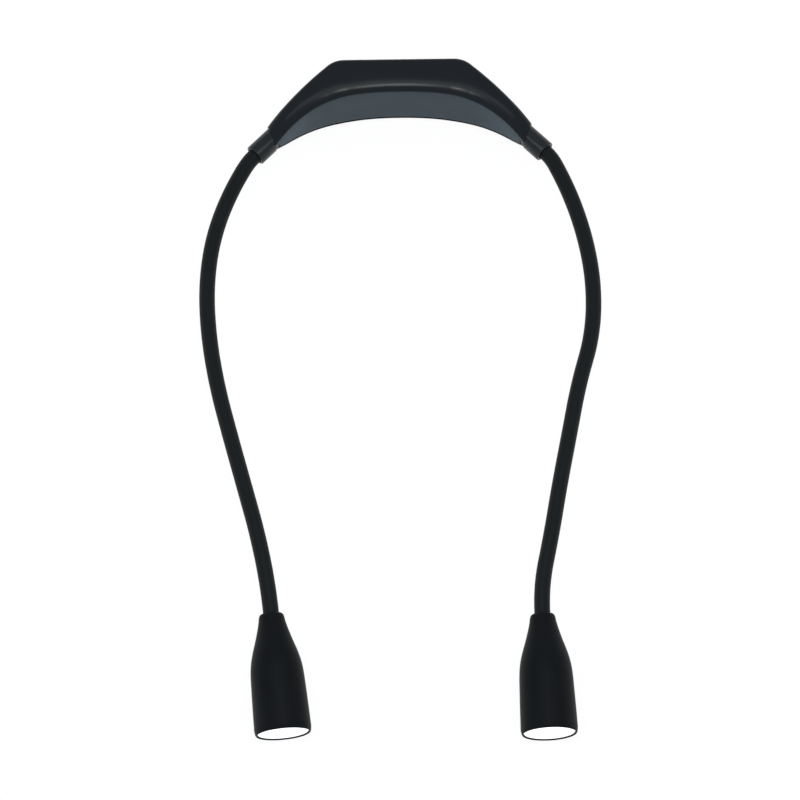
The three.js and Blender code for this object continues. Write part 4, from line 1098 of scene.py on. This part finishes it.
def build_lights(s):
    """Even sky, one wide softbox overhead, and white walls round the horizon where they are seen or mirrored.

    The walls fade into the dark ceiling as the direction's height goes from low to high."""
    world = bpy.data.worlds.new("studio_sky")
    bpy.context.scene.world = world
    world.use_nodes = True
    tree = world.node_tree
    tree.nodes.clear()
    where = node(tree, "ShaderNodeTexCoord").outputs["Object"]
    height = node(tree, "ShaderNodeSeparateXYZ", {"Vector": where}).outputs["Z"]
    wall = node(tree, "ShaderNodeMapRange", {
        "Value": height, "From Min": s.wall_low, "From Max": s.wall_high, "To Min": 1.0, "To Max": 0.0},
        interpolation_type="SMOOTHSTEP").outputs["Result"]
    factor = node(tree, "ShaderNodeMath", {0: seen_rays(tree), 1: wall}, operation="MULTIPLY").outputs["Value"]
    sky = node(tree, "ShaderNodeBackground", {"Color": srgb("#F2F6FF"), "Strength": s.sky}).outputs["Background"]
    white = node(tree, "ShaderNodeBackground", {"Color": (1, 1, 1, 1), "Strength": 1.0}).outputs["Background"]
    mixed = node(tree, "ShaderNodeMixShader", {"Fac": factor, 1: sky, 2: white}).outputs["Shader"]
    node(tree, "ShaderNodeOutputWorld", {"Surface": mixed})
    overhead_light("overhead_panel", s.light_height, 0, s.panel_tilt, s.panel_power, s.panel_width, s.panel_depth)
    overhead_light("key_softbox", s.light_height, s.key_side, s.key_tilt, s.key_power, s.key_width, s.key_depth)


def overhead_light(name, height, side, tilt, power, width, depth):
    data = bpy.data.lights.new(name, "AREA")
    data.shape = "RECTANGLE"
    data.size, data.size_y = width, depth
    data.energy = power
    light = bpy.data.objects.new(name, data)
    light.location = (side, -height * math.tan(tilt), height)
    light.rotation_euler = (tilt, math.atan2(side, height), 0)
    bpy.context.scene.collection.objects.link(light)


# Operators: one for each piece or group of like pieces, and one for the studio


class NECKLIGHT_OT_studio(Operator):
    """Camera, table, sky and softbox"""
    bl_idname = "neck_light.studio"
    bl_label = "Studio"

    def execute(self, context):
        studio = context.scene.neck_light.studio
        build_camera(studio)
        build_floor(studio)
        build_lights(studio)
        context.scene.view_settings.view_transform = "Standard"
        return {"FINISHED"}


class NECKLIGHT_OT_shell(Operator):
    """Lofted outer shell of the neck housing, with its pocket, button holes and port"""
    bl_idname = "neck_light.shell"
    bl_label = "Housing shell"

    def execute(self, context):
        build_shell(context.scene.neck_light)
        return {"FINISHED"}


class NECKLIGHT_OT_pad(Operator):
    """Soft pad on the hollow side"""
    bl_idname = "neck_light.pad"
    bl_label = "Neck pad"

    def execute(self, context):
        build_pad(context.scene.neck_light)
        return {"FINISHED"}


class NECKLIGHT_OT_collars(Operator):
    """Collars between housing and goosenecks"""
    bl_idname = "neck_light.collars"
    bl_label = "Collars"

    def execute(self, context):
        build_collars(context.scene.neck_light)
        return {"FINISHED"}


class NECKLIGHT_OT_goosenecks(Operator):
    """Rubber sleeves of both goosenecks, one piece across each hinge"""
    bl_idname = "neck_light.goosenecks"
    bl_label = "Goosenecks"

    def execute(self, context):
        build_goosenecks(context.scene.neck_light)
        return {"FINISHED"}


class NECKLIGHT_OT_heads(Operator):
    """Lamp heads and their lit lenses"""
    bl_idname = "neck_light.heads"
    bl_label = "Lamp heads"

    def execute(self, context):
        build_heads(context.scene.neck_light)
        return {"FINISHED"}


class NECKLIGHT_OT_controls(Operator):
    """Buttons, charging socket and charge light"""
    bl_idname = "neck_light.controls"
    bl_label = "Buttons and ports"

    def execute(self, context):
        build_buttons(context.scene.neck_light)
        build_ports(context.scene.neck_light)
        return {"FINISHED"}


class NECKLIGHT_OT_inner_parts(Operator):
    """Finishes of the parts inside the housing and the heads"""
    bl_idname = "neck_light.inner_parts"
    bl_label = "Inner parts"

    def execute(self, context):
        finish_inner_parts()
        return {"FINISHED"}


STEPS = ("studio", "shell", "pad", "collars", "goosenecks", "heads", "controls", "inner_parts")


class NECKLIGHT_PT_panel(Panel):
    """Lists the steps that build the light"""
    bl_idname = "NECKLIGHT_PT_panel"
    bl_label = "Neck Reading Light"
    bl_space_type = "VIEW_3D"
    bl_region_type = "UI"
    bl_category = "Neck Light"

    def draw(self, context):
        for step in STEPS:
            self.layout.operator(f"neck_light.{step}")


CLASSES = (
    HousingSettings, PadSettings, CollarSettings, GooseneckSettings, HeadSettings, ControlSettings, StudioSettings,
    NeckLightSettings, NECKLIGHT_OT_studio, NECKLIGHT_OT_shell, NECKLIGHT_OT_pad, NECKLIGHT_OT_collars,
    NECKLIGHT_OT_goosenecks, NECKLIGHT_OT_heads, NECKLIGHT_OT_controls, NECKLIGHT_OT_inner_parts,
    NECKLIGHT_PT_panel,
)


def register():
    for kind in CLASSES:
        bpy.utils.register_class(kind)
    bpy.types.Scene.neck_light = PointerProperty(type=NeckLightSettings)


def unregister():
    del bpy.types.Scene.neck_light
    for kind in reversed(CLASSES):
        bpy.utils.unregister_class(kind)


def main():
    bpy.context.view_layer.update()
    register()
    for step in STEPS:
        getattr(bpy.ops.neck_light, step)()


if __name__ == "__main__":
    main()
